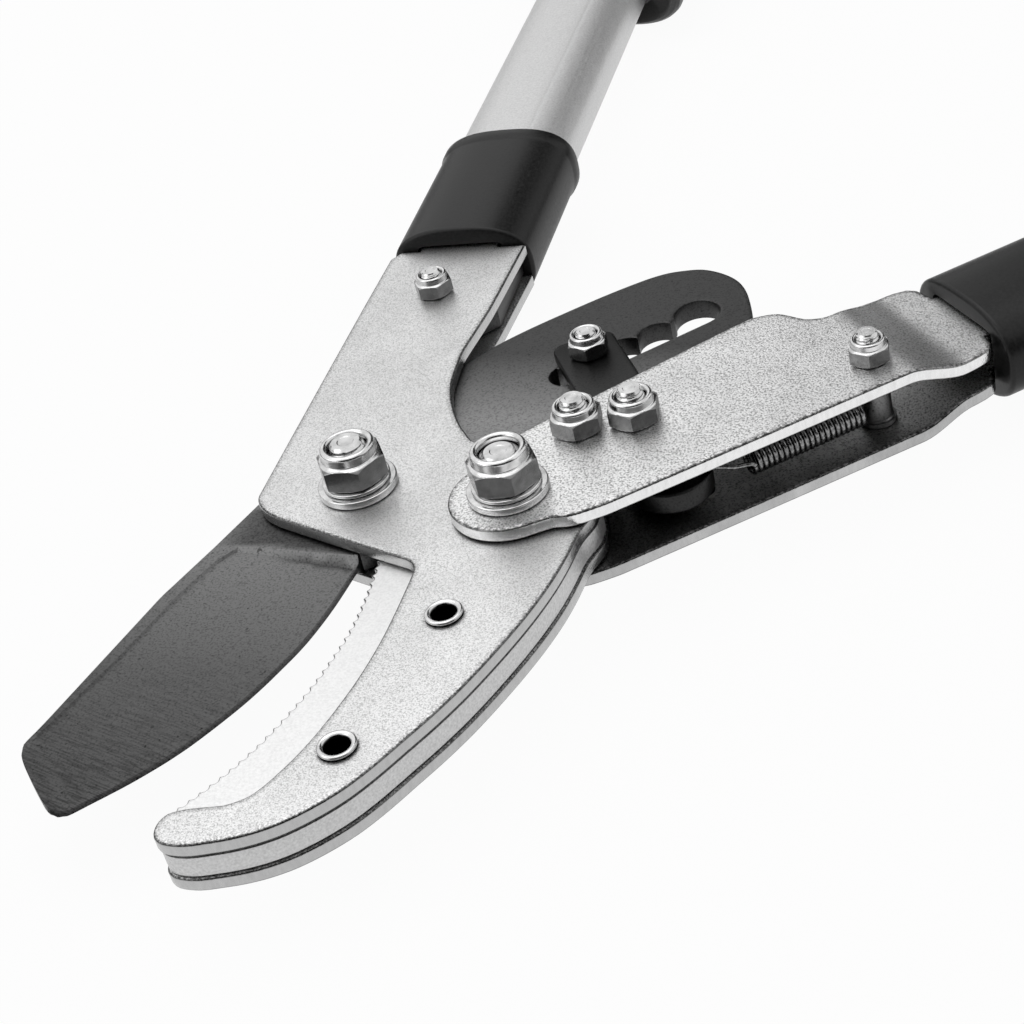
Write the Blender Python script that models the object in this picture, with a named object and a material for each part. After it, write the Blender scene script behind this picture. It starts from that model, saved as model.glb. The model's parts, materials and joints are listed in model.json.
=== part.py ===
"""Ratchet anvil lopper with telescopic handles, as separate pieces.

The tool lies flat with its jaws towards +Y. The origin is on the lever pivot's axis,
at the surface the tool lies on. The anvil handle runs along -Y, and the lever handle
leaves it at HANDLE_SPREAD. Each piece is drawn in the frame of the pivot that carries it.
"""
import math

import bmesh
import bpy
import numpy as np
from mathutils import Vector
from mathutils.geometry import tessellate_polygon

MM = 0.001

# Fits
SEAT = 0.2 * MM                    # gap between stacked flat faces
SHANK_CLEARANCE = 0.25 * MM        # bolt shank to its hole, on the radius
SLIDE_CLEARANCE = 0.3 * MM         # telescoping tubes, caps and sleeves, on each side
LAYER_GAP = 0.3 * MM               # between the blade or insert and the plates beside it

# Layers, out from the tool's middle plane
BLADE_THICKNESS = 4.8 * MM
PLATE_THICKNESS = 3.0 * MM
LEVER_PLATE_THICKNESS = 3.0 * MM

# Pivots, from the lever pivot at the origin
BLADE_PIVOT_X = 35.2 * MM
BLADE_PIVOT_Y = -7.8 * MM
HANDLE_SPREAD = math.radians(52.2)
LINK_PIVOT_ALONG = 31.3 * MM       # along the lever, from its pivot
LINK_PIVOT_SIDE = 5.7 * MM
LINK_LENGTH = 35.1 * MM
LINK_TILT = math.radians(81.0)     # link pin's direction from the lever's direction

# Fasteners
PIVOT_BOLT_DIAMETER = 8.0 * MM
PIVOT_FLATS = 13.0 * MM
PIVOT_NUT_HEIGHT = 8.0 * MM
PIVOT_HEAD_HEIGHT = 5.3 * MM
PIVOT_WASHER_DIAMETER = 16.8 * MM
PIVOT_WASHER_THICKNESS = 1.6 * MM
THIN_WASHER_DIAMETER = 14.4 * MM
THIN_WASHER_THICKNESS = 0.8 * MM
LEVER_BOLT_DIAMETER = 6.0 * MM
LEVER_FLATS = 10.0 * MM
LEVER_NUT_HEIGHT = 6.0 * MM
LEVER_HEAD_HEIGHT = 4.0 * MM
SMALL_BOLT_DIAMETER = 5.0 * MM
SMALL_FLATS = 8.0 * MM
SMALL_NUT_HEIGHT = 5.0 * MM
SMALL_HEAD_HEIGHT = 3.5 * MM
COLLAR_SHARE = 0.36                # share of a nut's height that its round collar takes
ROUND_SIDES = 18

# Anvil jaw and tang
TANG_WIDTH = 33.4 * MM
TANG_AXIS_X = 38.7 * MM
TANG_SHOULDER = 103.0 * MM         # from the lever pivot to the shoulders at the sleeve
TANG_LENGTH = 24.0 * MM            # past the shoulders, inside the tube
TANG_NECK_WIDTH = 20.0 * MM
TANG_BOLT_X = 39.3 * MM
TANG_BOLT_Y = -83.6 * MM
EYELET_HOLE_DIAMETER = 4.8 * MM
EYELET_RIM_DIAMETER = 7.6 * MM
EYELET_WALL = 0.7 * MM
EYELET_RIM_HEIGHT = 0.8 * MM
EYELET_PLACES = ((5.2 * MM, 33.8 * MM), (15.4 * MM, 70.1 * MM))
EDGE_SETBACK = 0.3 * MM            # insert's outer edge behind the plates' edges
TOOTH_COUNT = 32
TOOTH_DEPTH = 0.7 * MM

# Blade
CLOSING_ANGLE = math.radians(11.6)
CLOSED_GAP = 0.3 * MM              # edge to serrations when shut
EDGE_BEVEL = 0.6 * MM
EDGE_THICKNESS = 0.9 * MM          # just behind the bevel
SPINE_THICKNESS = 4.2 * MM         # of the ground blade, along its back
SLOT_EDGE = 6.4 * MM               # slot's straight edge, from the blade pivot
NOTCH_LINE = 10.4 * MM             # notch centres, from the blade pivot
NOTCH_RADIUS = 4.6 * MM
NOTCH_PITCH = 8.4 * MM
NOTCH_COUNT = 3
FIRST_NOTCH = 60.4 * MM
SLOT_DIRECTION = math.radians(-139.7)

# Lever
LEVER_END_RADIUS = 12.5 * MM
LEVER_WIDTH = 39.5 * MM
LEVER_FRONT_SIDE = 16.5 * MM       # front edge, from the lever pivot's line
LEVER_HANDLE_OFFSET = -2.5 * MM
LEVER_TANG_WIDTH = 20.0 * MM
BEND_START = 82.0 * MM
BEND_END = 95.0 * MM
STOP_ALONG = 20.6 * MM
STOP_SIDE = 10.7 * MM
ANCHOR_ALONG = 78.5 * MM
ANCHOR_SIDE = -8.0 * MM
ANCHOR_SLEEVE_DIAMETER = 6.4 * MM
ANCHOR_FLANGE_DIAMETER = 7.8 * MM
ANCHOR_FLANGE_HEIGHT = 1.0 * MM

# Ratchet link
LINK_THICKNESS = 3.0 * MM
LINK_PIN_END_RADIUS = 7.0 * MM
LINK_PIVOT_END_RADIUS = 7.0 * MM
LINK_CORNER = 2.6 * MM             # rounding of the square end
LINK_TAIL_ALONG = 0.5 * MM         # tail's round end, from the link pivot
LINK_TAIL_SIDE = -12.0 * MM
LINK_TAIL_RADIUS = 8.5 * MM
HOOK_ALONG = 5.0 * MM              # spring's hole in the tail, from the link pivot
HOOK_SIDE = -16.1 * MM
HOOK_HOLE_DIAMETER = 2.6 * MM
PIN_BUSH_DIAMETER = 6.4 * MM

# Return spring
SPRING_WIRE = 1.1 * MM
SPRING_MEAN_DIAMETER = 5.9 * MM
SPRING_TURNS = 16
SPRING_PITCH = 1.65 * MM
SPRING_START = 47.0 * MM           # along the lever
SPRING_SIDE = -10.3 * MM
POINTS_PER_TURN = 8

# Handles, measured along each handle from the lever pivot
TUBE_WIDTH = 31.2 * MM
TUBE_HEIGHT = 17.8 * MM
TUBE_WALL = 1.5 * MM
SQUARENESS = 2.6                   # section exponent: 2 is an ellipse, more is squarer
SECTION_POINTS = 20
SLEEVE_START = 103.6 * MM
SLEEVE_LENGTH = 49.4 * MM
SLEEVE_WALL = 1.6 * MM
SLEEVE_FRONT_WALL = 2.4 * MM
SLEEVE_LIP = 0.5 * MM
SLEEVE_ROUND = 1.4 * MM
MOUTH_CLEARANCE = 0.9 * MM
MOUTH_SQUARENESS = 10.0
TUBE_PIN_DIAMETER = 4.0 * MM
TUBE_PIN_INSET = 12.0 * MM
INNER_TUBE_LENGTH = 420.0 * MM
COLLAR_START = 254.0 * MM
COLLAR_LENGTH = 50.0 * MM
COLLAR_WIDTH = 53.0 * MM
COLLAR_HEIGHT = 28.0 * MM
COLLAR_SLANT = 22.0 * MM           # how much later the mouth comes on the outer side
COLLAR_ROUND = 4.0 * MM
COLLAR_LIP_DEPTH = 5.0 * MM
OUTER_TUBE_LENGTH = 348.0 * MM
OUTER_TUBE_WALL = 1.5 * MM
BUTTON_DIAMETER = 9.0 * MM
BUTTON_LENGTH = 4.2 * MM
BUTTON_PROUD = 2.6 * MM
BUTTON_TRAVEL = 2.4 * MM
BUTTON_ALONG = 32.0 * MM           # from the collar's front
GRIP_LENGTH = 180.0 * MM
GRIP_WIDTH = 41.6 * MM
GRIP_HEIGHT = 32.4 * MM
GRIP_WAIST = 1.6 * MM              # how far the waist draws in
GRIP_RIDGES = 3
CAP_PLUG_LENGTH = 14.0 * MM
CAP_FLANGE = 4.0 * MM

# Levels worked out from the layers
BLADE_TOP = BLADE_THICKNESS / 2
PLATE_INNER = BLADE_TOP + LAYER_GAP
PLATE_OUTER = PLATE_INNER + PLATE_THICKNESS
LEVER_INNER = PLATE_OUTER + LAYER_GAP
LEVER_OUTER = LEVER_INNER + LEVER_PLATE_THICKNESS
LINK_OUTER = PLATE_INNER + LINK_THICKNESS
TOOL_BOTTOM = LEVER_OUTER + 2 * SEAT + PIVOT_WASHER_THICKNESS + PIVOT_HEAD_HEIGHT
FULL_TURN = 2 * math.pi


def clear_scene():
    """Empty the scene, so the script can be run again."""
    for item in list(bpy.data.objects):
        bpy.data.objects.remove(item, do_unlink=True)


def make_material(name, colour, roughness, metallic):
    """A plain Principled material."""
    material = bpy.data.materials.new(name)
    material.use_nodes = True
    shader = material.node_tree.nodes["Principled BSDF"]
    shader.inputs["Base Color"].default_value = (*colour, 1.0)
    shader.inputs["Roughness"].default_value = roughness
    shader.inputs["Metallic"].default_value = metallic
    return material


def make_empty(name, x, y, angle=0.0, parent=None):
    """A pivot: an empty whose Z axis is the joint's axis."""
    empty = bpy.data.objects.new(name, None)
    bpy.context.collection.objects.link(empty)
    empty.location = (x, y, 0.0 if parent else TOOL_BOTTOM)
    empty.rotation_euler = (0.0, 0.0, angle)
    empty.parent = parent
    return empty


def finish(name, bm, material, parent, sharp_angle=math.radians(35)):
    """Turn a bmesh into a named object under its pivot, shaded smooth with sharp edges."""
    bmesh.ops.recalc_face_normals(bm, faces=bm.faces)
    mesh = bpy.data.meshes.new(name)
    bm.to_mesh(mesh)
    bm.free()
    mesh.shade_smooth()
    mesh.set_sharp_from_angle(angle=sharp_angle)
    mesh.materials.append(material)
    item = bpy.data.objects.new(name, mesh)
    bpy.context.collection.objects.link(item)
    item.parent = parent
    return item


def circle(x, y, radius, sides=ROUND_SIDES):
    """Points of a round hole."""
    angles = [FULL_TURN * step / sides for step in range(sides)]
    return [(x + radius * math.cos(a), y + radius * math.sin(a)) for a in angles]


def arc(x, y, radius, start, end, steps):
    """Points along an arc, angles in degrees."""
    angles = [math.radians(start + (end - start) * step / steps) for step in range(steps + 1)]
    return [(x + radius * math.cos(a), y + radius * math.sin(a)) for a in angles]


def curve_through(points, steps):
    """Smooth open curve through the points (Catmull-Rom), with a number of steps a span."""
    pts = [np.array(p) for p in points]
    pts = [2 * pts[0] - pts[1]] + pts + [2 * pts[-1] - pts[-2]]
    result = []
    for a, b, c, d in zip(pts, pts[1:], pts[2:], pts[3:]):
        for step in range(steps):
            t = step / steps
            bend = (2 * a - 5 * b + 4 * c - d) * t * t + (3 * b - a - 3 * c + d) * t * t * t
            result.append(tuple(0.5 * (2 * b + (c - a) * t + bend)))
    result.append(tuple(pts[-2]))
    return result


def turned(point, angle):
    """A point turned about the pivot it is measured from."""
    x, y = point
    return (x * math.cos(angle) - y * math.sin(angle), x * math.sin(angle) + y * math.cos(angle))


def cap_pieces(count, cuts):
    """Outline positions of each piece of a cap that is cut across between pairs of points."""
    pieces = []
    start, end = 0, count - 1
    for low, high in cuts:
        pieces.append(list(range(start, low + 1)) + list(range(high, end + 1)))
        start, end = low, high
    pieces.append(list(range(start, end + 1)))
    return pieces


def surrounds(loop, point):
    """Whether a loop of vertices goes round a point, seen from above (even-odd rule)."""
    crossings = 0
    for a, b in zip(loop, loop[1:] + loop[:1]):
        if (a.co.y > point.y) != (b.co.y > point.y):
            share = (point.y - a.co.y) / (b.co.y - a.co.y)
            crossings += a.co.x + share * (b.co.x - a.co.x) > point.x
    return crossings % 2 == 1


def plate_mesh(rings, holes=(), cuts=()):
    """Closed plate: outlines with each point's level, bottom first, and holes right through."""
    bm = bmesh.new()
    layers = []
    for outline, levels in rings:
        layers.append([bm.verts.new((x, y, level)) for (x, y), level in zip(outline, levels)])
    for low, high in zip(layers, layers[1:]):
        for i in range(len(low)):
            j = (i + 1) % len(low)
            bm.faces.new((low[i], low[j], high[j], high[i]))
    hole_ends = []
    for hole in holes:
        ends = [[bm.verts.new((x, y, level)) for x, y in hole] for level in (rings[0][1][0], rings[-1][1][0])]
        for i in range(len(hole)):
            j = (i + 1) % len(hole)
            bm.faces.new((ends[0][j], ends[0][i], ends[1][i], ends[1][j]))
        hole_ends.append(ends)
    for piece in cap_pieces(len(layers[0]), cuts):
        rim = [layers[0][i] for i in piece]
        inside = [ends for ends in hole_ends if surrounds(rim, ends[0][0].co)]
        for end, layer in ((0, layers[0]), (1, layers[-1])):
            loops = [[layer[i] for i in piece]] + [ends[end] for ends in inside]
            flat = [vert for loop in loops for vert in loop]
            for face in tessellate_polygon([[vert.co for vert in loop] for loop in loops]):
                bm.faces.new([flat[i] for i in face])
    return bm


def make_plate(name, outline, low, high, holes, material, parent):
    """A flat plate between two levels."""
    rings = [(outline, [level] * len(outline)) for level in (low, high)]
    return finish(name, plate_mesh(rings, holes), material, parent)


def ring_mesh(rings, closed):
    """Solid from rings of equal count; closed joins the last ring to the first (a pierced solid)."""
    bm = bmesh.new()
    layers = [[bm.verts.new(point) for point in ring] for ring in rings]
    count = len(rings[0])
    pairs = list(zip(layers, layers[1:]))
    if closed:
        pairs.append((layers[-1], layers[0]))
    else:
        bm.faces.new(layers[0])
        bm.faces.new(layers[-1])
    for low, high in pairs:
        for i in range(count):
            j = (i + 1) % count
            bm.faces.new((low[i], low[j], high[j], high[i]))
    return bm


def hexagon_radius(flats, angle):
    """Distance from the axis to a hexagon's side."""
    sector = math.pi / 3
    return flats / 2 / math.cos(angle % sector - sector / 2)


def upright_ring(x, y, level, radius, flats=0.0):
    """Ring of points about a vertical axis: round, or a hexagon limited to the radius."""
    ring = []
    for step in range(ROUND_SIDES):
        angle = FULL_TURN * step / ROUND_SIDES
        reach = min(radius, hexagon_radius(flats, angle)) if flats else radius
        ring.append((x + reach * math.cos(angle), y + reach * math.sin(angle), level))
    return ring


def make_nut(name, x, y, seat, flats, height, bolt, material, parent):
    """Lock nut: chamfered hexagon with a round collar that grips the bolt's thread."""
    corner = flats / math.sqrt(3)
    collar = flats * 0.445
    bore = bolt / 2 + SHANK_CLEARANCE
    chamfer = flats * 0.05
    shoulder = seat + height * (1 - COLLAR_SHARE)
    rings = [
        upright_ring(x, y, seat, bore),
        upright_ring(x, y, seat, flats / 2),
        upright_ring(x, y, seat + chamfer, corner, flats),
        upright_ring(x, y, shoulder - chamfer, corner, flats),
        upright_ring(x, y, shoulder, flats / 2),
        upright_ring(x, y, shoulder + chamfer, collar),
        upright_ring(x, y, seat + height - chamfer, collar),
        upright_ring(x, y, seat + height, collar - chamfer),
        upright_ring(x, y, seat + height, bore),
    ]
    return finish(name, ring_mesh(rings, True), material, parent)


def make_bolt(name, x, y, seat, tip, flats, head, bolt, material, parent):
    """Hexagon bolt, head down: the head's seat is at level seat and the shank ends at tip."""
    corner = flats / math.sqrt(3)
    chamfer = flats * 0.05
    shank = bolt / 2
    rings = [
        upright_ring(x, y, seat - head, flats / 2),
        upright_ring(x, y, seat - head + chamfer, corner, flats),
        upright_ring(x, y, seat, corner, flats),
        upright_ring(x, y, seat, shank),
        upright_ring(x, y, tip - chamfer, shank),
        upright_ring(x, y, tip, shank - chamfer),
    ]
    return finish(name, ring_mesh(rings, False), material, parent)


def make_washer(name, x, y, low, thickness, outer, bolt, material, parent):
    """Flat washer or plain spacer round a bolt."""
    bore = bolt / 2 + SHANK_CLEARANCE
    levels = (low, low + thickness)
    rings = [upright_ring(x, y, levels[0], bore), upright_ring(x, y, levels[0], outer / 2)]
    rings += [upright_ring(x, y, levels[1], outer / 2), upright_ring(x, y, levels[1], bore)]
    return finish(name, ring_mesh(rings, True), material, parent)


def bolt_set(name, x, y, grip, nut_rise, proud, size, material, parent):
    """Bolt and lock nut through a stack that reaches grip above and below the middle plane."""
    bolt, flats, nut, head = size
    seat = grip + nut_rise + SEAT
    top = seat + nut + proud
    make_bolt(name + "_bolt", x, y, -grip - nut_rise - SEAT, top, flats, head, bolt, material, parent)
    make_nut(name + "_nut", x, y, seat, flats, nut, bolt, material, parent)


def blade_edge():
    """Cutting edge from heel to tip, from the blade pivot."""
    knots = [(-4.6, 17.9), (-3.9, 22.6), (-2.6, 32.2), (-0.4, 42.3), (2.5, 50.5), (6.7, 60.1), (13.7, 71.9),
             (19.8, 79.4), (24.9, 84.5), (31.0, 90.0)]
    return curve_through([(x * MM, y * MM) for x, y in knots], 2)


def along_line(points, count):
    """Evenly spaced points along a line of straight pieces."""
    knots = np.array(points)
    length = np.concatenate([[0.0], np.cumsum(np.hypot(*np.diff(knots, axis=0).T))])
    places = np.linspace(0.0, length[-1], count)
    return list(zip(np.interp(places, length, knots[:, 0]), np.interp(places, length, knots[:, 1])))


def slot_point(along, across):
    """A point in the blade tail, along its slot and across it, from the blade pivot."""
    return turned((along, across), SLOT_DIRECTION)


def blade_slot():
    """Slot with a straight edge, round ends and a row of notches on its far edge."""
    end_radius = 4.2 * MM
    far_radius = 5.2 * MM
    start = FIRST_NOTCH - NOTCH_PITCH * 0.7
    far = FIRST_NOTCH + NOTCH_PITCH * (NOTCH_COUNT + 0.28)
    cusp = math.degrees(math.acos(NOTCH_PITCH / 2 / NOTCH_RADIUS))
    points = arc(start, SLOT_EDGE + end_radius, end_radius, 270, 100, 8)
    for notch in range(NOTCH_COUNT):
        centre = FIRST_NOTCH + notch * NOTCH_PITCH
        points += arc(centre, NOTCH_LINE, NOTCH_RADIUS, 180 - cusp, cusp, 8)
    points += arc(far, SLOT_EDGE + far_radius, far_radius, 160, -90, 12)
    return [slot_point(along, across) for along, across in points]


def make_blade(material, parent):
    """Blade, hub and ratchet tail in one plate, ground on both faces from its back to its edge."""
    edge = blade_edge()
    back_line = [(28.3 * MM, 14.4 * MM), (34.5 * MM, 31.0 * MM), (44.2 * MM, 67.4 * MM),
                 (46.2 * MM, 74.2 * MM)]
    back = along_line(back_line, len(edge))
    tip = [(32.6 * MM, 90.8 * MM), (35.0 * MM, 89.6 * MM), (42.9 * MM, 80.7 * MM), (45.6 * MM, 76.9 * MM)]
    hub_back = [(23.4 * MM, 0.3 * MM), (20.4 * MM, -8.0 * MM)]
    tail_back = curve_through([slot_point(0.0, 21.0 * MM), slot_point(25.0 * MM, 28.0 * MM),
                               slot_point(48.5 * MM, 33.6 * MM), slot_point(73.0 * MM, 34.1 * MM),
                               slot_point(87.0 * MM, 33.0 * MM)], 3)
    tail_end = curve_through([slot_point(92.2 * MM, 31.6 * MM), slot_point(98.6 * MM, 27.0 * MM),
                              slot_point(101.6 * MM, 19.0 * MM), slot_point(100.6 * MM, 11.0 * MM),
                              slot_point(95.9 * MM, 0.8 * MM)], 3)
    tail_front = [slot_point(92.5 * MM, -3.0 * MM), slot_point(86.0 * MM, -5.0 * MM),
                  slot_point(30.0 * MM, -6.0 * MM)]
    hub = curve_through([slot_point(18.0 * MM, -9.0 * MM), (-20.0 * MM, 2.0 * MM),
                         (-12.5 * MM, 13.0 * MM)], 3)
    outline = hub + edge + tip + back[::-1] + hub_back + tail_back + tail_end + tail_front
    first = len(hub)
    last = first + len(edge) + len(tip) + len(back) - 1
    cuts = [(first + step, last - step) for step in range(len(edge))]
    thin = EDGE_THICKNESS / 2
    spine = SPINE_THICKNESS / 2
    tip_levels = [thin + (spine - thin) * share for share in (0.1, 0.25, 0.75, 0.95)]
    blade_levels = [BLADE_TOP] + [thin] * (len(edge) - 1) + tip_levels
    blade_levels += [spine] * (len(back) - 1) + [BLADE_TOP]
    rest = len(outline) - len(hub) - len(blade_levels)
    levels = [BLADE_TOP] * len(hub) + blade_levels + [BLADE_TOP] * rest
    sharp = list(outline)
    for step in range(1, len(edge)):
        before = edge[step - 1]
        after = edge[min(step + 1, len(edge) - 1)]
        run = Vector((after[0] - before[0], after[1] - before[1])).normalized()
        x, y = edge[step]
        sharp[first + step] = (x - run.y * EDGE_BEVEL, y + run.x * EDGE_BEVEL)
    rings = [(outline, [-level for level in levels]), (sharp, [0.0] * len(levels)), (outline, levels)]
    holes = [circle(0.0, 0.0, PIVOT_BOLT_DIAMETER / 2 + SHANK_CLEARANCE), blade_slot()]
    return finish("blade", plate_mesh(rings, holes, cuts), material, parent)


def anvil_outer_edge(setback):
    """Outer edge of the jaw from its tip to the lever pivot's lobe, moved in by the setback."""
    knots = [(36.5, 94.7), (28.5, 92.9), (20.0, 88.8), (11.0, 80.2), (3.6, 68.2), (-3.6, 54.4),
             (-10.4, 36.6), (-14.2, 22.2), (-16.0, 8.5)]
    edge = [(x * MM, y * MM) for x, y in knots]
    edge = curve_through(edge, 2)
    lobe = arc(0.0, 0.0, 18.0 * MM, 170, 275, 7)
    moved = []
    points = edge + lobe
    for index, (x, y) in enumerate(points):
        before = points[max(index - 1, 0)]
        after = points[min(index + 1, len(points) - 1)]
        run = Vector((after[0] - before[0], after[1] - before[1])).normalized()
        moved.append((x - run.y * setback, y + run.x * setback))
    return moved


def anvil_tip():
    """Rounded jaw tip, from its inner side to its outer side."""
    return [(38.6 * MM, 85.6 * MM), (42.2 * MM, 87.0 * MM), (43.4 * MM, 89.6 * MM), (42.8 * MM, 92.6 * MM),
            (40.6 * MM, 94.3 * MM)]


def anvil_plate_outline():
    """Jaw, pivot lobe and tang of one anvil plate, counterclockwise from the jaw's tip."""
    half = TANG_WIDTH / 2
    neck = TANG_NECK_WIDTH / 2
    end = -TANG_SHOULDER - TANG_LENGTH
    bay = curve_through([(14.4 * MM, -23.0 * MM), (18.6 * MM, -28.7 * MM), (22.6 * MM, -37.1 * MM),
                         (25.0 * MM, -46.0 * MM), (25.6 * MM, -58.0 * MM)], 2)
    tang = [(TANG_AXIS_X - half + 1.6 * MM, -75.0 * MM), (TANG_AXIS_X - half, -TANG_SHOULDER),
            (TANG_AXIS_X - neck, -TANG_SHOULDER), (TANG_AXIS_X - neck, end),
            (TANG_AXIS_X + neck, end), (TANG_AXIS_X + neck, -TANG_SHOULDER),
            (TANG_AXIS_X + half - 2.0 * MM, -TANG_SHOULDER), (TANG_AXIS_X + half, -TANG_SHOULDER + 3.0 * MM)]
    shoulder = curve_through([(57.2 * MM, -9.0 * MM), (57.0 * MM, -4.6 * MM), (54.2 * MM, -0.6 * MM),
                              (50.0 * MM, 2.2 * MM)], 3)
    front = [(24.7 * MM, 13.6 * MM)] + arc(20.3 * MM, 20.9 * MM, 5.0 * MM, 247, 180, 6)
    throat = curve_through([(15.4 * MM, 28.0 * MM), (15.9 * MM, 40.0 * MM), (17.6 * MM, 53.0 * MM),
                            (20.9 * MM, 66.6 * MM), (24.4 * MM, 75.7 * MM), (28.2 * MM, 82.2 * MM),
                            (32.5 * MM, 84.7 * MM)], 2)
    return anvil_tip() + anvil_outer_edge(0.0) + bay + tang + shoulder + front + throat


def serrated_edge():
    """Insert's edge: the shut blade's edge with a gap, cut into small scallops, tip to heel."""
    edge = [turned(point, CLOSING_ANGLE) for point in blade_edge()]
    knots = np.array(edge)
    spans = np.hypot(*np.diff(knots, axis=0).T)
    length = np.concatenate([[0.0], np.cumsum(spans)])
    first = length[-1] * 0.05
    last = length[-1] * 0.955
    steps = TOOTH_COUNT * 3
    points = []
    for step in range(steps + 1):
        place = first + (last - first) * step / steps
        x = np.interp(place, length, knots[:, 0])
        y = np.interp(place, length, knots[:, 1])
        ahead = np.array([np.interp(place + MM, length, knots[:, axis]) for axis in (0, 1)])
        run = (ahead - (x, y)) / np.linalg.norm(ahead - (x, y))
        back = EDGE_BEVEL + CLOSED_GAP + TOOTH_DEPTH * abs(math.sin(math.pi * TOOTH_COUNT * step / steps))
        points.append((BLADE_PIVOT_X + x - run[1] * back, BLADE_PIVOT_Y + y + run[0] * back))
    return points[::-1]


def make_insert(material, parent):
    """Serrated anvil between the plates, which also spaces them at the lever pivot."""
    hub_clear = 24.0 * MM
    lobe = arc(0.0, 0.0, 11.5 * MM, 275, 340, 5)
    heel = arc(BLADE_PIVOT_X, BLADE_PIVOT_Y, hub_clear, 160, 132, 5)
    tip = [(x - EDGE_SETBACK, y - EDGE_SETBACK) for x, y in anvil_tip()[1:]]
    outer = anvil_outer_edge(EDGE_SETBACK)[:-6]
    outline = serrated_edge()[::-1] + tip + outer + arc(0.0, 0.0, 14.0 * MM, 195, 262, 4) + lobe + heel
    hole_radius = EYELET_HOLE_DIAMETER / 2 + EYELET_WALL + SHANK_CLEARANCE
    holes = [circle(x, y, hole_radius) for x, y in EYELET_PLACES]
    holes.append(circle(0.0, 0.0, PIVOT_BOLT_DIAMETER / 2 + SHANK_CLEARANCE))
    return make_plate("anvil_insert", outline, -BLADE_TOP, BLADE_TOP, holes, material, parent)


def make_eyelet(name, x, y, material, parent):
    """Tubular rivet with a rolled rim on both plates."""
    bore = EYELET_HOLE_DIAMETER / 2
    barrel = bore + EYELET_WALL
    rim = EYELET_RIM_DIAMETER / 2
    face = PLATE_OUTER + SEAT
    top = face + EYELET_RIM_HEIGHT
    mid = face + EYELET_RIM_HEIGHT * 0.5
    rings = [
        upright_ring(x, y, -top, bore + EYELET_WALL * 0.6),
        upright_ring(x, y, -top, rim - EYELET_RIM_HEIGHT * 0.5),
        upright_ring(x, y, -mid, rim),
        upright_ring(x, y, -face, rim),
        upright_ring(x, y, -face, barrel),
        upright_ring(x, y, face, barrel),
        upright_ring(x, y, face, rim),
        upright_ring(x, y, mid, rim),
        upright_ring(x, y, top, rim - EYELET_RIM_HEIGHT * 0.5),
        upright_ring(x, y, top, bore + EYELET_WALL * 0.6),
        upright_ring(x, y, mid, bore),
        upright_ring(x, y, -mid, bore),
    ]
    return finish(name, ring_mesh(rings, True), material, parent)


def make_tang_spacer(material, parent):
    """Block that holds the tang plates apart, from the tube to the blade tail's sweep."""
    half = TANG_WIDTH / 2 - 2.0 * MM
    neck = TANG_NECK_WIDTH / 2
    left = TANG_AXIS_X - half
    right = TANG_AXIS_X + half
    end = -TANG_SHOULDER - TANG_LENGTH
    outline = [(left, -80.0 * MM), (left, -TANG_SHOULDER), (TANG_AXIS_X - neck, -TANG_SHOULDER),
               (TANG_AXIS_X - neck, end), (TANG_AXIS_X + neck, end), (TANG_AXIS_X + neck, -TANG_SHOULDER),
               (right, -TANG_SHOULDER), (right, -58.0 * MM), (right - 8.0 * MM, -58.0 * MM)]
    holes = [circle(TANG_BOLT_X, TANG_BOLT_Y, SMALL_BOLT_DIAMETER / 2 + SHANK_CLEARANCE)]
    holes.append(circle(TANG_AXIS_X, -SLEEVE_START - TUBE_PIN_INSET, TUBE_PIN_DIAMETER / 2 + SHANK_CLEARANCE))
    return make_plate("tang_spacer", outline, -BLADE_TOP, BLADE_TOP, holes, material, parent)


def lever_plate_outline():
    """Round pivot end, wide body with a shoulder, and the tang that enters the tube.

    Also gives the pairs of points between which the tang is bent.
    """
    neck = LEVER_TANG_WIDTH / 2
    end = TANG_SHOULDER + TANG_LENGTH
    front = -LEVER_FRONT_SIDE
    far = LEVER_WIDTH - LEVER_FRONT_SIDE
    tang_low = LEVER_HANDLE_OFFSET - neck
    tang_high = LEVER_HANDLE_OFFSET + neck
    round_end = arc(0.0, 0.0, LEVER_END_RADIUS, 100, 258, 10)
    neck_curve = curve_through([(3.0 * MM, -13.2 * MM), (7.0 * MM, -15.4 * MM), (14.0 * MM, front)], 3)
    shoulder = curve_through([(79.8 * MM, 12.4 * MM), (76.5 * MM, 14.6 * MM), (73.0 * MM, 20.6 * MM),
                              (67.5 * MM, far)], 3)
    upper = [(40.0 * MM, far - 2.4 * MM), (10.6 * MM, 17.6 * MM), (4.0 * MM, 14.6 * MM)]
    flare = [(82.0, -17.7, 12.2), (85.5, -18.1, 12.6), (89.0, -18.2, 13.6), (92.0, -18.1, 14.8),
             (95.0, -17.9, 15.2), (98.0, -17.6, 15.0), (100.8, -16.9, 14.2), (102.3, -15.4, 12.4)]
    low_side = [(x * MM, low * MM) for x, low, high in flare] + [(TANG_SHOULDER, tang_low)]
    high_side = [(x * MM, high * MM) for x, low, high in flare] + [(TANG_SHOULDER, tang_high)]
    outline = round_end + neck_curve + low_side + [(end, tang_low), (end, tang_high)] + high_side[::-1]
    first = len(round_end) + len(neck_curve)
    last = len(outline) - 1
    cuts = [(first + step, last - step) for step in range(len(low_side))]
    return outline + shoulder + upper, cuts


def bend_share(station):
    """How far the bend has come at a station along the lever, from 0 to 1."""
    share = min(max((station - BEND_START) / (BEND_END - BEND_START), 0.0), 1.0)
    return share * share * (3.0 - 2.0 * share)


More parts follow.
